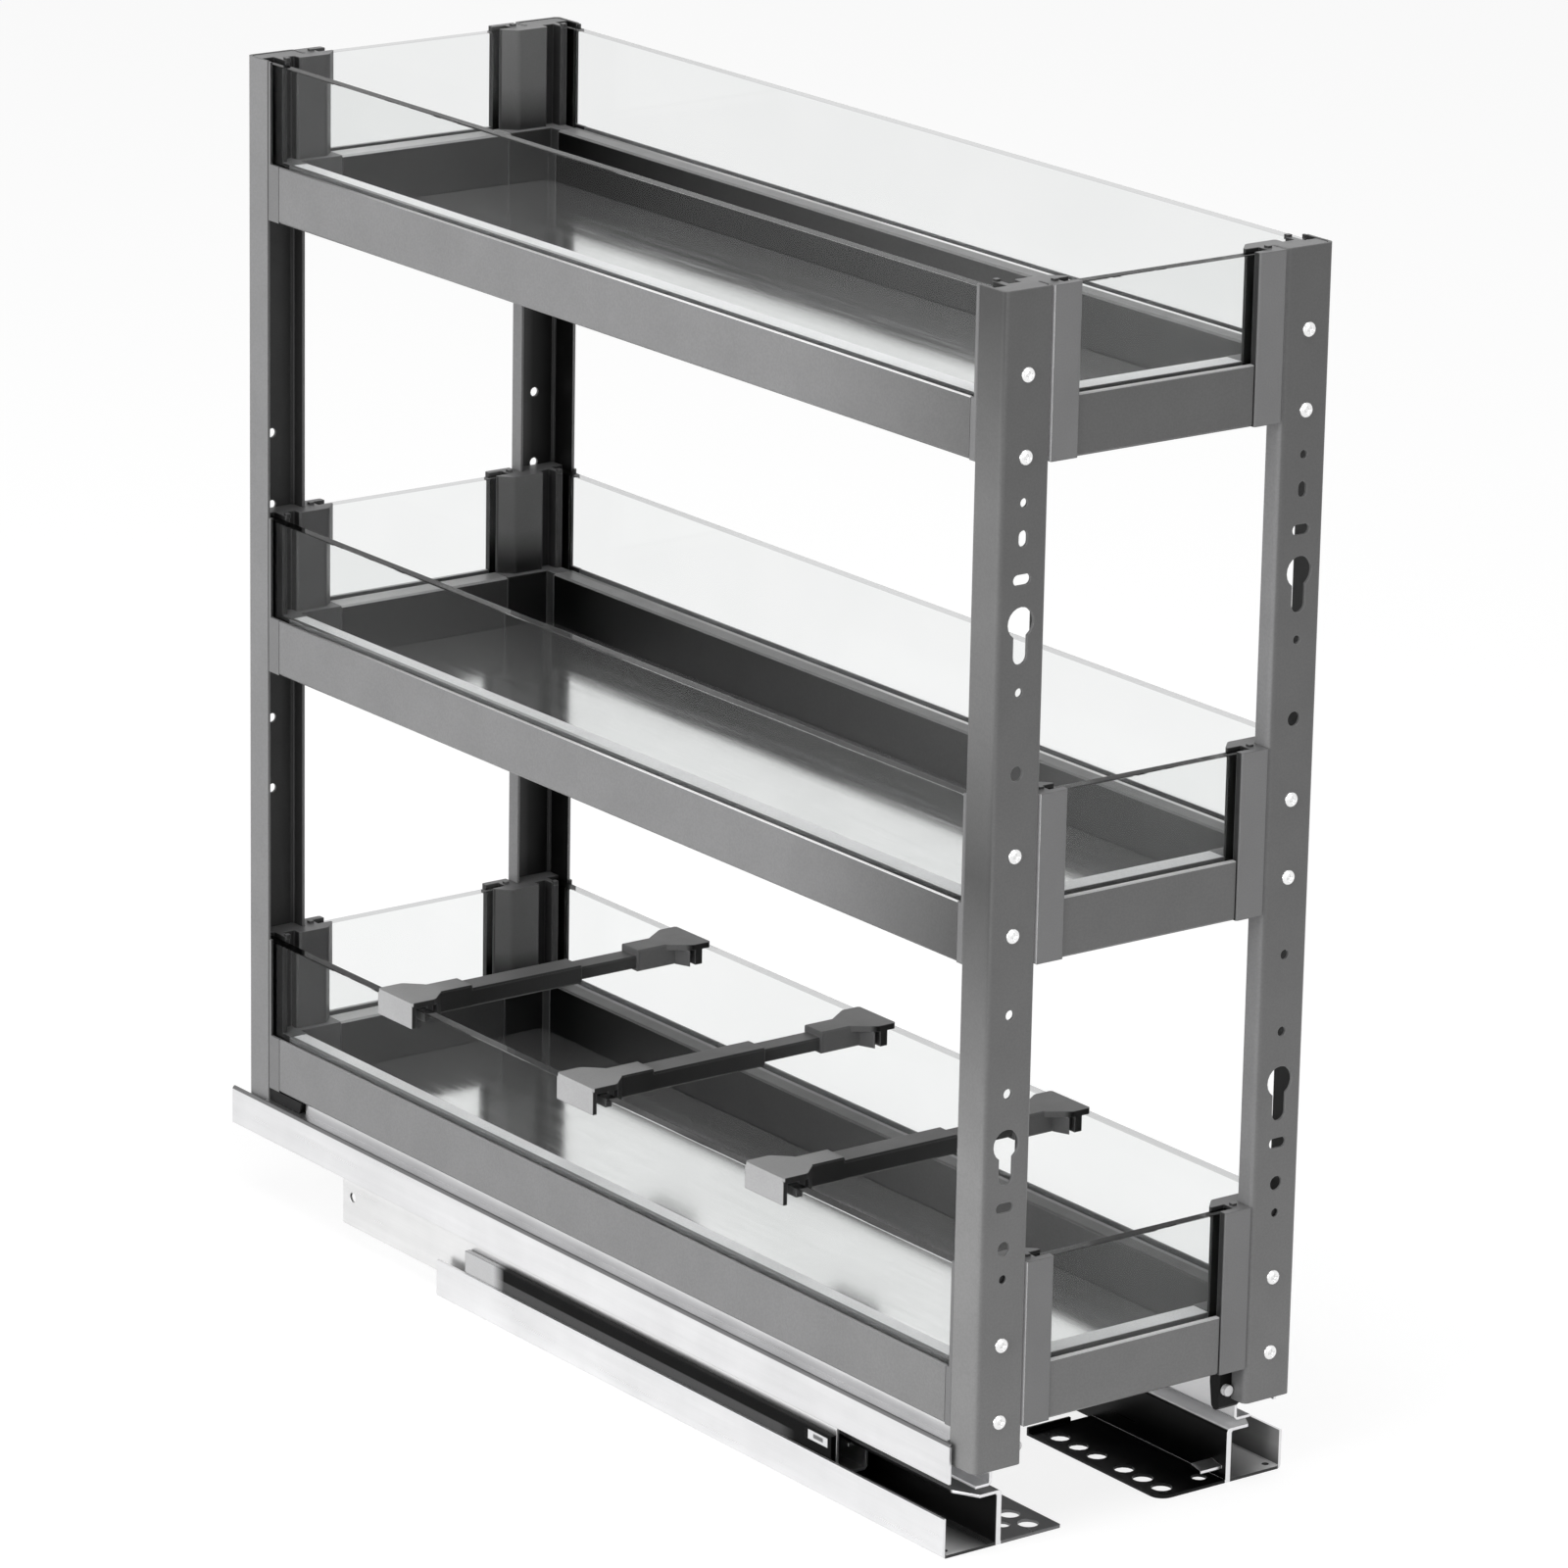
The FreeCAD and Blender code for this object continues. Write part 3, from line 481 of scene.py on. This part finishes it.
def long_rim_tones(tree, across, along, height):
    """Outer face, inner face, top outside the pane and top inside it, of a side rim, all as
    painted light and shade: the outer face's front end darker at the middle tier, the inner
    face dark, black towards the rear, the top outside the pane bright at the front and dark
    at the rear, and the top inside the pane light on the near rim and dark on the far one.
    """
    past_front = rising(tree, along, -245.0, -130.0)
    outer = shade(tree, past_front, along_height(tree, height, LONG_RIM_SHADE_BY_HEIGHT), 0.200)
    # Painted shade on the inner face, black towards the rear
    inner = rising(tree, along, -220.0, 220.0, 0.100, 0.001)
    upper_edge_light_and_shade = tones_between(tree, along, -250.0, 250.0, LONG_RIM_EDGE_LIGHT_AND_SHADE)
    edge = shade(tree, rising(tree, height, *ABOVE_BOTTOM_TIER), 0.24, upper_edge_light_and_shade)
    far_strip_shade = grey_socket(tree, rising(tree, height, *ABOVE_BOTTOM_TIER, 0.11, 0.22))
    strip = shade(tree, rising(tree, across, -20.0, 20.0), 0.95, far_strip_shade)
    return outer, inner, edge, strip


def short_rim_tones(tree, across, along, height):
    """The same four, of a front or rear rim, also as painted light and shade: the outer face
    darker towards the top, the inner face dark, the top outside the pane a little darker
    higher up, and the top inside the pane light on the front rim and darker to the right on
    the rear one.
    """
    outer = along_height(tree, height, WEB_SHADE_BY_HEIGHT)
    inner = rising(tree, along, -20.0, 20.0, 0.050, 0.030)
    edge = along_height(tree, height, [(80, 0.62), (460, 0.48)])
    rear_strip_shade = grey_socket(tree, rising(tree, across, -50.0, 50.0, 0.68, 0.25))
    strip = shade(tree, rising(tree, along, -20.0, 20.0), 0.80, rear_strip_shade)
    return outer, inner, edge, strip


def rim_finish(name, is_long):
    """Powder coat of a rim, with painted light and shade: light outer face, dark inner face and
    bright top strips.
    """
    material, tree = new_material(name)
    across, along, height = places(tree)
    if is_long:
        outer, inner, edge, strip = long_rim_tones(tree, across, along, height)
        inner_face = within(tree, across, LONG_RIM_INSIDE)
        inside_pane = within(tree, across, LONG_RIM_PANE)
    else:
        outer, inner, edge, strip = short_rim_tones(tree, across, along, height)
        inner_face = within(tree, along, SHORT_RIM_INSIDE)
        inside_pane = within(tree, along, SHORT_RIM_PANE)
    side = shade(tree, inner_face, outer, grey_socket(tree, inner))
    top = shade(tree, inside_pane, edge, strip)
    colour = shade(tree, facing(tree, "Z"), side, top)
    shine = LOW_SHINE if is_long else SATIN_SHINE
    return coat(material, colour, rough=0.36, grain=POWDER_GRAIN, relief=0.08,
                worn_tone=0.26, shine=shine)


# Corner blocks, in millimetres out from the middle
BLOCK_END_FACE = 260.4
BLOCK_SIDE_FACE = 79.6
LOBE_SIDE = 64.5
WING_INNER_END = 258.3
WING_SIDE = (50.0, 57.4)
# Painted light and shade on the far rear block's lobe: dark beside each tier's floor and light
# beside its pane
FAR_LOBE_LIGHT_AND_SHADE = [(82, 0.004), (92, 0.085), (200, 0.085), (210, 0.003), (273, 0.003),
                  (287, 0.085), (400, 0.085), (410, 0.040), (469, 0.014), (486, 0.095)]


def corner_finish():
    """Moulded corner block: painted shade makes it dark inside the tray; lighter beside the
    uprights, on top and on the sides of the wings, whose pale tone is painted light over the
    shadow of their gap."""
    material, tree = new_material("corner_moulding")
    across, along, height = places(tree)
    sideways = facing(tree, "X")
    out_y = outward(tree, "Y", along)
    lobe = both(tree, backward(tree, out_y), within(tree, across, LOBE_SIDE))
    is_far_rear = both(tree, rising(tree, across, 20.0, 30.0), rising(tree, along, 150.0, 200.0))
    lobe_shade = shade(tree, is_far_rear, 0.075, along_height(tree, height, FAR_LOBE_LIGHT_AND_SHADE))
    # Painted shade inside the tray, with the lobe's own painted tones
    colour = shade(tree, lobe, 0.022, lobe_shade)
    end_face = both(tree, beyond(tree, along, BLOCK_END_FACE), forward(tree, out_y))
    colour = shade(tree, end_face, colour, 0.185)
    side_face = both(tree, sideways, beyond(tree, across, BLOCK_SIDE_FACE))
    colour = shade(tree, side_face, colour, 0.16)
    wing_side = both(tree, sideways, beyond(tree, along, WING_INNER_END),
                     beyond(tree, across, WING_SIDE[0]), within(tree, across, WING_SIDE[1]))
    # Painted light on the wing sides, over the shadow in the gap beside the upright
    colour = shade(tree, wing_side, colour, 0.80)
    colour = shade(tree, facing(tree, "Z"), colour, 0.16)
    return coat(material, colour, rough=0.40, grain=MOULD_GRAIN, relief=0.10,
                worn_tone=0.12, shine=SATIN_SHINE)


def roller_finish():
    """Natural acetal with faint flow marks."""
    material, tree = new_material("roller_acetal")
    tone = 0.70
    flow = noise(tree, object_coords(tree, stretch=(1, 1, 0.25)), per_metre=45.0, detail=3.0)
    colour = ramp(tree, flow, [(0.3, tone * 0.92), (0.7, tone * 1.08)])
    return coat(material, colour, rough=0.35, grain=MOULD_GRAIN, relief=0.16,
                worn_tone=0.8, shine=0.5)


# Roller carriers and couplings: along from the middle, out across it, and heights
FOOT_TOP = 21.15
FOOT_FRONT = (-150.0, -140.0)
CARRIER_REAR = (56.0, 64.0)
CATCH_FACE = 84.94
CATCH_UNDERSIDE = 20.65
CATCH_REAR = -159.0
SLIT_LENGTH = (-169.0, -162.5)
SLIT_HEIGHT = (22.2, 24.0)
WHEEL_REAR = -252.1


def carrier_finish():
    """Black carrier with a dark grey foot that ends short of the front, a pale rear end
    and a pale catch with a grey slit."""
    material, tree = new_material("carrier_moulding")
    across, along, height = places(tree)
    foot = both(tree, under(tree, height, FOOT_TOP, 0.25), rising(tree, along, *FOOT_FRONT))
    colour = shade(tree, foot, 0.001, 0.060)
    colour = shade(tree, rising(tree, along, *CARRIER_REAR), colour, 0.45)
    catch = both(tree, beyond(tree, across, CATCH_FACE, 0.04),
                 over(tree, height, CATCH_UNDERSIDE, 0.15), under(tree, along, CATCH_REAR, 0.2))
    slit = both(tree, band(tree, along, *SLIT_LENGTH), band(tree, height, *SLIT_HEIGHT))
    colour = shade(tree, catch, colour, shade(tree, slit, 0.60, 0.14))
    return coat(material, colour, rough=0.42, grain=MOULD_GRAIN, relief=0.10,
                worn_tone=0.03, shine=0.05)


def fitting_finish():
    """Black fittings; the adjusting wheel on the front of a coupling is white."""
    material, tree = new_material("fitting_moulding")
    _, along, _ = places(tree)
    colour = shade(tree, under(tree, along, WHEEL_REAR, 0.05), 0.004, 0.90)
    return coat(material, colour, rough=0.42, grain=MOULD_GRAIN, relief=0.10,
                worn_tone=0.03, shine=LOW_SHINE)


# Dividers: across from the middle, from the near clip over the sleeve and rod to the far clip
DIVIDER_REACH = 100.0
# Painted shade on the side towards the front, and painted light on the tops, along the divider
DIVIDER_SIDE_SHADE = [(-90, 0.030), (-46, 0.012), (10, 0.030), (41, 0.045),
                      (43, 0.120), (64, 0.110), (66, 0.002)]
DIVIDER_TOP_LIGHT = [(-62, 0.27), (-48, 0.24), (-42, 0.13), (40, 0.13), (44, 0.16)]
NEAR_PLATE = -78.0


def divider_finish():
    """Grey moulding with painted light and shade: pale outer plate and tops where light falls,
    dark on the side towards the front.
    """
    material, tree = new_material("divider_moulding")
    across, _, _ = places(tree)
    side = tones_between(tree, across, -DIVIDER_REACH, DIVIDER_REACH, DIVIDER_SIDE_SHADE)
    top = tones_between(tree, across, -DIVIDER_REACH, DIVIDER_REACH, DIVIDER_TOP_LIGHT)
    colour = shade(tree, forward(tree, direction(tree, "Z")), 0.09, top)
    colour = shade(tree, backward(tree, direction(tree, "Y")), colour, side)
    plate = both(tree, backward(tree, direction(tree, "X")), under(tree, across, NEAR_PLATE, 0.2))
    colour = shade(tree, plate, colour, 0.36)
    return coat(material, colour, rough=0.42, grain=MOULD_GRAIN, relief=0.10,
                worn_tone=0.16, shine=LOW_SHINE)


# Cabinet members: out across from the middle, and heights
TAB_SIDE = 57.4
TAB_TOP = 4.0
INNER_WALL = 60.6
CHANNEL_SIDES = (60.0, 85.3)
CHANNEL_TOP = 21.4
CHANNEL_FLOOR = (64.0, 84.0)
OUTER_WALL = 84.75
FLANGE_EDGE = (74.5, 75.5)
FLANGE_TOP = 22.8


def cabinet_member_finish(name, tab_shade, top_light_and_shade):
    """Zinc outside, with painted shade on the tab with the inner wall, and a painted tone on
    the top flange. The channel's inside is matt, with painted shade: a floor that lightens
    outward and an outer wall that lightens upward, and so is the top flange matt."""
    material, tree = new_material(name, 1.0)
    across, _, height = places(tree)
    sideways = facing(tree, "X")
    upward = facing(tree, "Z")
    out = from_middle(tree, across)
    tab = both(tree, under(tree, out, TAB_SIDE, 0.1), under(tree, height, TAB_TOP, 0.2))
    inner_wall = both(tree, sideways, under(tree, out, INNER_WALL))
    tint = shade(tree, either(tree, tab, inner_wall), 1.0, tab_shade)
    inside = both(tree, over(tree, out, CHANNEL_SIDES[0], 0.1),
                  under(tree, out, CHANNEL_SIDES[1], 0.1), under(tree, height, CHANNEL_TOP, 0.2))
    # Painted shade in the channel: the floor lightens outward, the outer wall upward
    floor_tone = rising(tree, out, *CHANNEL_FLOOR, 0.04, 1.0)
    wall_shade = both(tree, over(tree, out, OUTER_WALL, 0.25),
                     rising(tree, height, 1.0, 10.0, 0.10, 0.45))
    channel = shade(tree, upward, grey_socket(tree, wall_shade), grey_socket(tree, floor_tone))
    tint = shade(tree, inside, tint, channel)
    # Painted shade along the flange's edge
    tint = shade(tree, both(tree, sideways, band(tree, out, *FLANGE_EDGE)), tint, 0.02)
    flange_top = both(tree, upward, over(tree, height, FLANGE_TOP, 0.2))
    tint = shade(tree, flange_top, tint, top_light_and_shade)
    bright = math_node(tree, "SUBTRACT", 1.0, either(tree, inside, flange_top))
    tree.links.new(bright, main_shader(tree).inputs["Metallic"])
    return plated_skin(material, ZINC_TONE, ZINC_ROUGH, tint=tint)


# Drawer members: out across from the middle, and heights
SHOULDER_HEIGHT = (46.8, 48.0)
RIDGE = (77.0, 79.0)
BEND_SIDE = 82.4
BEND_UNDERSIDE = 46.05


def drawer_member_finish():
    """Zinc, with painted shade: a little darker on the shoulder under the tier and on the ridge
    beside it, and dark on the bend outside them."""
    material, tree = new_material("drawer_member_zinc", 1.0)
    across, _, height = places(tree)
    shoulder = both(tree, facing(tree, "Z"), band(tree, height, *SHOULDER_HEIGHT))
    tint = shade(tree, shoulder, 1.0, 0.80)
    ridge = both(tree, facing(tree, "X"), band(tree, from_middle(tree, across), *RIDGE))
    tint = shade(tree, ridge, tint, 0.80)
    bend = both(tree, beyond(tree, across, BEND_SIDE, 0.1),
                over(tree, height, BEND_UNDERSIDE, 0.15))
    tint = shade(tree, bend, tint, 0.25)
    return plated_skin(material, ZINC_TONE, ZINC_ROUGH, tint=tint)


GLASS_INDEX = 1.12
GLASS_CLOUDS = 20.0
GLASS_TINTS = [(0.3, (0.885, 0.895, 0.892)), (0.7, (0.905, 0.912, 0.910))]


def clear_glass(name, edge_light_and_shade):
    """Clear float glass, a touch grey, with faint clouding and a painted tone for its top edge:
    painted shade on the near panes and painted light on the far ones.
    The low index keeps the panes as free of reflections as the picture shows them."""
    material, tree = new_material(name)
    shader = main_shader(tree)
    shader.inputs["Transmission Weight"].default_value = 1.0
    shader.inputs["IOR"].default_value = GLASS_INDEX
    shader.inputs["Roughness"].default_value = 0.0
    tint = ramp(tree, noise(tree, object_coords(tree), GLASS_CLOUDS, detail=2.0), GLASS_TINTS)
    colour = shade(tree, facing(tree, "Z"), tint, edge_light_and_shade)
    tree.links.new(colour, shader.inputs["Base Color"])
    return material


finishes = {
    "upright_steel": upright_finish(),
    "rim_metal": rim_finish("long_rim_coat", is_long=True),
    "floor_panel": plated_sheet("floor_satin_sheet", tone=0.97, rough=0.12, metallic=0.93,
                                stretch=(1, 0.04, 1), relief=0.01),
    "corner_plastic": corner_finish(),
    "clear_glass": clear_glass("near_pane_glass", edge_light_and_shade=0.006),
    "divider_plastic": divider_finish(),
    "zinc_screws": plated_sheet("bright_zinc", tone=0.86, rough=0.22, stretch=(1, 1, 1),
                                lines_per_metre=500.0),
    "runner_steel": plated_sheet("galvanised_runner", ZINC_TONE, ZINC_ROUGH),
    "roller_plastic": roller_finish(),
    "housing_plastic": carrier_finish(),
    "fitting_plastic": fitting_finish(),
}
# The far panes are a lit copy of the near panes' glass: their top edge carries painted light
far_glass = clear_glass("far_pane_glass", edge_light_and_shade=0.48)
short_rim = rim_finish("short_rim_coat", is_long=False)
# Shaded and lit copies: painted shade on both tabs, most on the right; painted shade on the left
# flange top and painted light on the right one
left_channel = cabinet_member_finish("left_floor_channel", tab_shade=0.20, top_light_and_shade=0.15)
right_channel = cabinet_member_finish("right_floor_channel", tab_shade=0.02, top_light_and_shade=1.2)
drawer_zinc = drawer_member_finish()
own_finishes = {tier + "_rim_" + end: short_rim for tier in TIERS for end in ("front", "rear")}
own_finishes["runner_cabinet_member_left"] = left_channel
own_finishes["runner_cabinet_member_right"] = right_channel
own_finishes["runner_drawer_member_left"] = drawer_zinc
own_finishes["runner_drawer_member_right"] = drawer_zinc


def dress_nodes():
    """Every CAD node takes its own finish, or else the one of its material slot."""
    for entry in frame["record"]["subparts"]:
        node = nodes_by_name[entry["node"]]
        finish = own_finishes.get(entry["node"], finishes[entry["material_slot"]])
        node.data.materials.clear()
        node.data.materials.append(finish)


# Screws, in millimetres

SCREW_RINGS = 30
SCREW_STEPS = 48
HEAD_HEIGHT = 1.6
RECESS_REACH = 1.55        # from the middle of the head to the end of an arm
RECESS_HALF = 0.42         # half of an arm's width
RECESS_DEPTH = 0.85
ARM_SIDE_SOFT = 0.16       # widths over which an arm's side and its end slope
ARM_END_SOFT = 0.3
RECESS_MIDDLE = 1.25       # the depth's share at the middle, and how much it falls to the end
RECESS_FALL = 0.5


def screw_surface(radius):
    """Pan head: ring radius r runs from 0 to the rim; the height over the web is
    HEAD_HEIGHT * (1 - (r / radius) ** 4) ** 0.5, less a cross-shaped recess. Its arms fade
    out as smooth steps of the distance from each arm's centre line, and its depth falls in
    a straight line with r, cut off at the full depth."""
    share = np.sin(np.linspace(0.0, math.pi / 2, SCREW_RINGS))
    angle = np.linspace(0.0, 2 * math.pi, SCREW_STEPS, endpoint=False)
    ring, turn = np.meshgrid(share * radius, angle, indexing="ij")
    across = ring * np.cos(turn)
    upward = ring * np.sin(turn)
    dome = HEAD_HEIGHT * np.sqrt(np.clip(1 - (ring / radius) ** 4, 0, 1))

    def step(value, limit, soft):
        return np.clip((limit - np.abs(value)) / soft + 0.5, 0, 1)

    def arm(sideways, lengthways):
        side = step(sideways, RECESS_HALF, ARM_SIDE_SOFT)
        return side * step(lengthways, RECESS_REACH, ARM_END_SOFT)

    cross = np.maximum(arm(across, upward), arm(upward, across))
    fall = np.clip(RECESS_MIDDLE - ring / RECESS_REACH * RECESS_FALL, 0, 1)
    height = dome - RECESS_DEPTH * cross * fall
    return np.stack([across, upward, height], axis=-1).reshape(-1, 3)


def build_screws():
    """One detailed head for each screw of the node, on the outside of the uprights' webs."""
    points = []
    faces = []
    grid = ring_faces(SCREW_RINGS, SCREW_STEPS)
    for solid in solid_parts("post_screws"):
        low = solid.min(axis=0)
        high = solid.max(axis=0)
        side = -1.0 if low[1] < 0 else 1.0
        crown_y = low[1] if side < 0 else high[1]
        radius = (high[0] - low[0]) / 2 / MM
        across, upward, height = screw_surface(radius).T * MM
        faces.append(grid + sum(len(placed) for placed in points))
        points.append(np.stack([
            (low[0] + high[0]) / 2 - side * across,
            crown_y + side * (height - HEAD_HEIGHT * MM),
            (low[2] + high[2]) / 2 + upward,
        ], axis=-1))
    piece = mesh_piece("screw_heads", np.concatenate(points), np.concatenate(faces),
                       finishes["zinc_screws"], "basket")
    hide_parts("post_screws")


# Glass, in millimetres

ARRIS = 0.5
ARRIS_STEPS = 3


def pane_surface(low, high):
    """Pane with arrised edges. The section across its thickness is a rectangle whose
    corners are quarter rounds of the arris radius; it is carried round the pane's outline,
    and each ring is the outline drawn in by the round's own inset."""
    low = np.array(low) / MM
    high = np.array(high) / MM
    thin = 0 if high[0] - low[0] < high[1] - low[1] else 1
    wide = 1 - thin
    angle = np.linspace(0, math.pi / 2, ARRIS_STEPS + 1)
    inset = ARRIS * (1 - np.sin(angle))
    depth = ARRIS * (1 - np.cos(angle))
    insets = np.concatenate([inset, inset[::-1]])
    depths = np.concatenate([low[thin] + depth, high[thin] - depth[::-1]])
    rings = []
    for shrink, place in zip(insets, depths):
        near = low[wide] + shrink
        far = high[wide] - shrink
        foot = low[2] + shrink
        top = high[2] - shrink
        ring = np.empty((4, 3))
        ring[:, thin] = place
        ring[:, wide] = [near, far, far, near]
        ring[:, 2] = [foot, foot, top, top]
        rings.append(ring)
    return np.concatenate(rings) * MM, len(rings), thin


def build_pane(node):
    """A pane with arrised edges in place of the node; its faces look outwards."""
    points, rings, thin = pane_surface(*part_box(node))
    last = (rings - 1) * 4
    caps = np.array([[3, 2, 1, 0], [last, last + 1, last + 2, last + 3]])
    faces = np.concatenate([ring_faces(rings, 4), caps])
    if thin == 1:
        faces = faces[:, ::-1]
    is_far = node.endswith("_right") or node.endswith("_rear")
    glass = far_glass if is_far else finishes["clear_glass"]
    piece = mesh_piece(node + "_polished", points, faces, glass, "basket",
                       smooth=False)
    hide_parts(node)


def build_panes():
    for tier in TIERS:
        for side in PANE_SIDES:
            build_pane(tier + "_glass_" + side)


# Stage, light and camera; metres and watts

FLOOR_HALF = 12.0
FLOOR_TONE = 0.9
FLOOR_GLOW = 1.12
GLOW_SHARE = 0.72          # of what the camera sees; the rest of the floor takes the shadow
WORLD_LIGHT = 0.42         # strength of the surroundings on the object
WORLD_SEEN = 1.0           # and as they look
WHITE = (1, 1, 1, 1)
LAMP_AIM = (0, 0, 0.25)
LAMP_HIGHLIGHT = 0.35
LAMPS = {                  # place, size and power
    "left_softbox": ((-2.6, -0.1, 0.9), (2.4, 1.8), 62),
    "top_softbox": ((-0.4, -0.6, 3.0), (2.2, 2.2), 40),
    "front_fill": ((0.4, -3.0, 1.0), (2.0, 1.5), 14),
}


def light_shader(tree, kind, **inputs):
    node = tree.nodes.new(kind)
    for name, value in inputs.items():
        node.inputs[name].default_value = value
    return node.outputs[0]


def seen_rays(tree):
    """1 for rays that show a surface: to the camera, in a mirror or through glass."""
    path = tree.nodes.new("ShaderNodeLightPath")
    rays = [path.outputs["Is " + kind + " Ray"] for kind in ("Camera", "Glossy", "Transmission")]
    return either(tree, *rays)


def show(tree, output_kind, share, plain, seen):
    """Sends out a mix of two shaders, seen by the given share."""
    mix = tree.nodes.new("ShaderNodeMixShader")
    output = tree.nodes.new(output_kind)
    tree.links.new(share, mix.inputs["Fac"])
    tree.links.new(plain, mix.inputs[1])
    tree.links.new(seen, mix.inputs[2])
    tree.links.new(mix.outputs[0], output.inputs["Surface"])


def stage_floor():
    """Pale floor that shows near white to the camera and keeps the object's shadow."""
    material = bpy.data.materials.new("stage_floor")
    material.use_nodes = True
    tree = material.node_tree
    tree.nodes.clear()
    tone = (FLOOR_TONE, FLOOR_TONE, FLOOR_TONE, 1)
    matt = light_shader(tree, "ShaderNodeBsdfDiffuse", Color=tone)
    glow = light_shader(tree, "ShaderNodeEmission", Strength=FLOOR_GLOW)
    show(tree, "ShaderNodeOutputMaterial", both(tree, seen_rays(tree), GLOW_SHARE), matt, glow)
    mesh = bpy.data.meshes.new("stage_floor")
    signs = ((-1, -1), (1, -1), (1, 1), (-1, 1))
    corners = [(x * FLOOR_HALF, y * FLOOR_HALF, 0) for x, y in signs]
    mesh.from_pydata(corners, [], [(0, 1, 2, 3)])
    mesh.materials.append(material)
    floor = bpy.data.objects.new("stage_floor", mesh)
    bpy.context.scene.collection.objects.link(floor)


def white_world():
    """White surroundings that light the object more softly than they look."""
    world = bpy.data.worlds.new("studio")
    bpy.context.scene.world = world
    world.use_nodes = True
    tree = world.node_tree
    tree.nodes.clear()
    light = light_shader(tree, "ShaderNodeBackground", Color=WHITE, Strength=WORLD_LIGHT)
    seen = light_shader(tree, "ShaderNodeBackground", Color=WHITE, Strength=WORLD_SEEN)
    show(tree, "ShaderNodeOutputWorld", seen_rays(tree), light, seen)


def soft_lamp(name, place, size, power):
    """Rectangular area lamp aimed at the middle of the object."""
    lamp = bpy.data.lights.new(name, "AREA")
    lamp.shape = "RECTANGLE"
    lamp.size, lamp.size_y = size
    lamp.energy = power
    lamp.specular_factor = LAMP_HIGHLIGHT
    holder = bpy.data.objects.new(name, lamp)
    bpy.context.scene.collection.objects.link(holder)
    holder.location = place
    aim = Vector(LAMP_AIM) - Vector(place)
    holder.rotation_euler = aim.to_track_quat("-Z", "Y").to_euler()


def picture_camera():
    """Camera at the picture's place, from its turn, rise and roll."""
    turn = math.radians(CAMERA_TURN)
    rise = math.radians(CAMERA_RISE)
    roll = math.radians(CAMERA_ROLL)
    level = math.cos(rise)
    back = Vector((math.sin(turn) * level, -math.cos(turn) * level, math.sin(rise)))
    right = Vector((math.cos(turn), math.sin(turn), 0))
    up = back.cross(right)
    rolled_right = right * math.cos(roll) + up * math.sin(roll)
    rolled_up = up * math.cos(roll) - right * math.sin(roll)
    data = bpy.data.cameras.new("picture_camera")
    data.lens = LENS
    data.sensor_width = SENSOR_WIDTH
    data.sensor_fit = "HORIZONTAL"
    data.clip_end = FAR_CLIP
    camera = bpy.data.objects.new("picture_camera", data)
    bpy.context.scene.collection.objects.link(camera)
    axes = Matrix((rolled_right, rolled_up, back)).transposed().to_4x4()
    camera.matrix_world = Matrix.Translation(Vector(CAMERA_PLACE) * MM) @ axes
    bpy.context.scene.camera = camera


dress_nodes()
build_screws()
build_panes()
stage_floor()
white_world()
for name, (place, size, power) in LAMPS.items():
    soft_lamp(name, place, size, power)
picture_camera()
bpy.context.scene.view_settings.view_transform = "Standard"
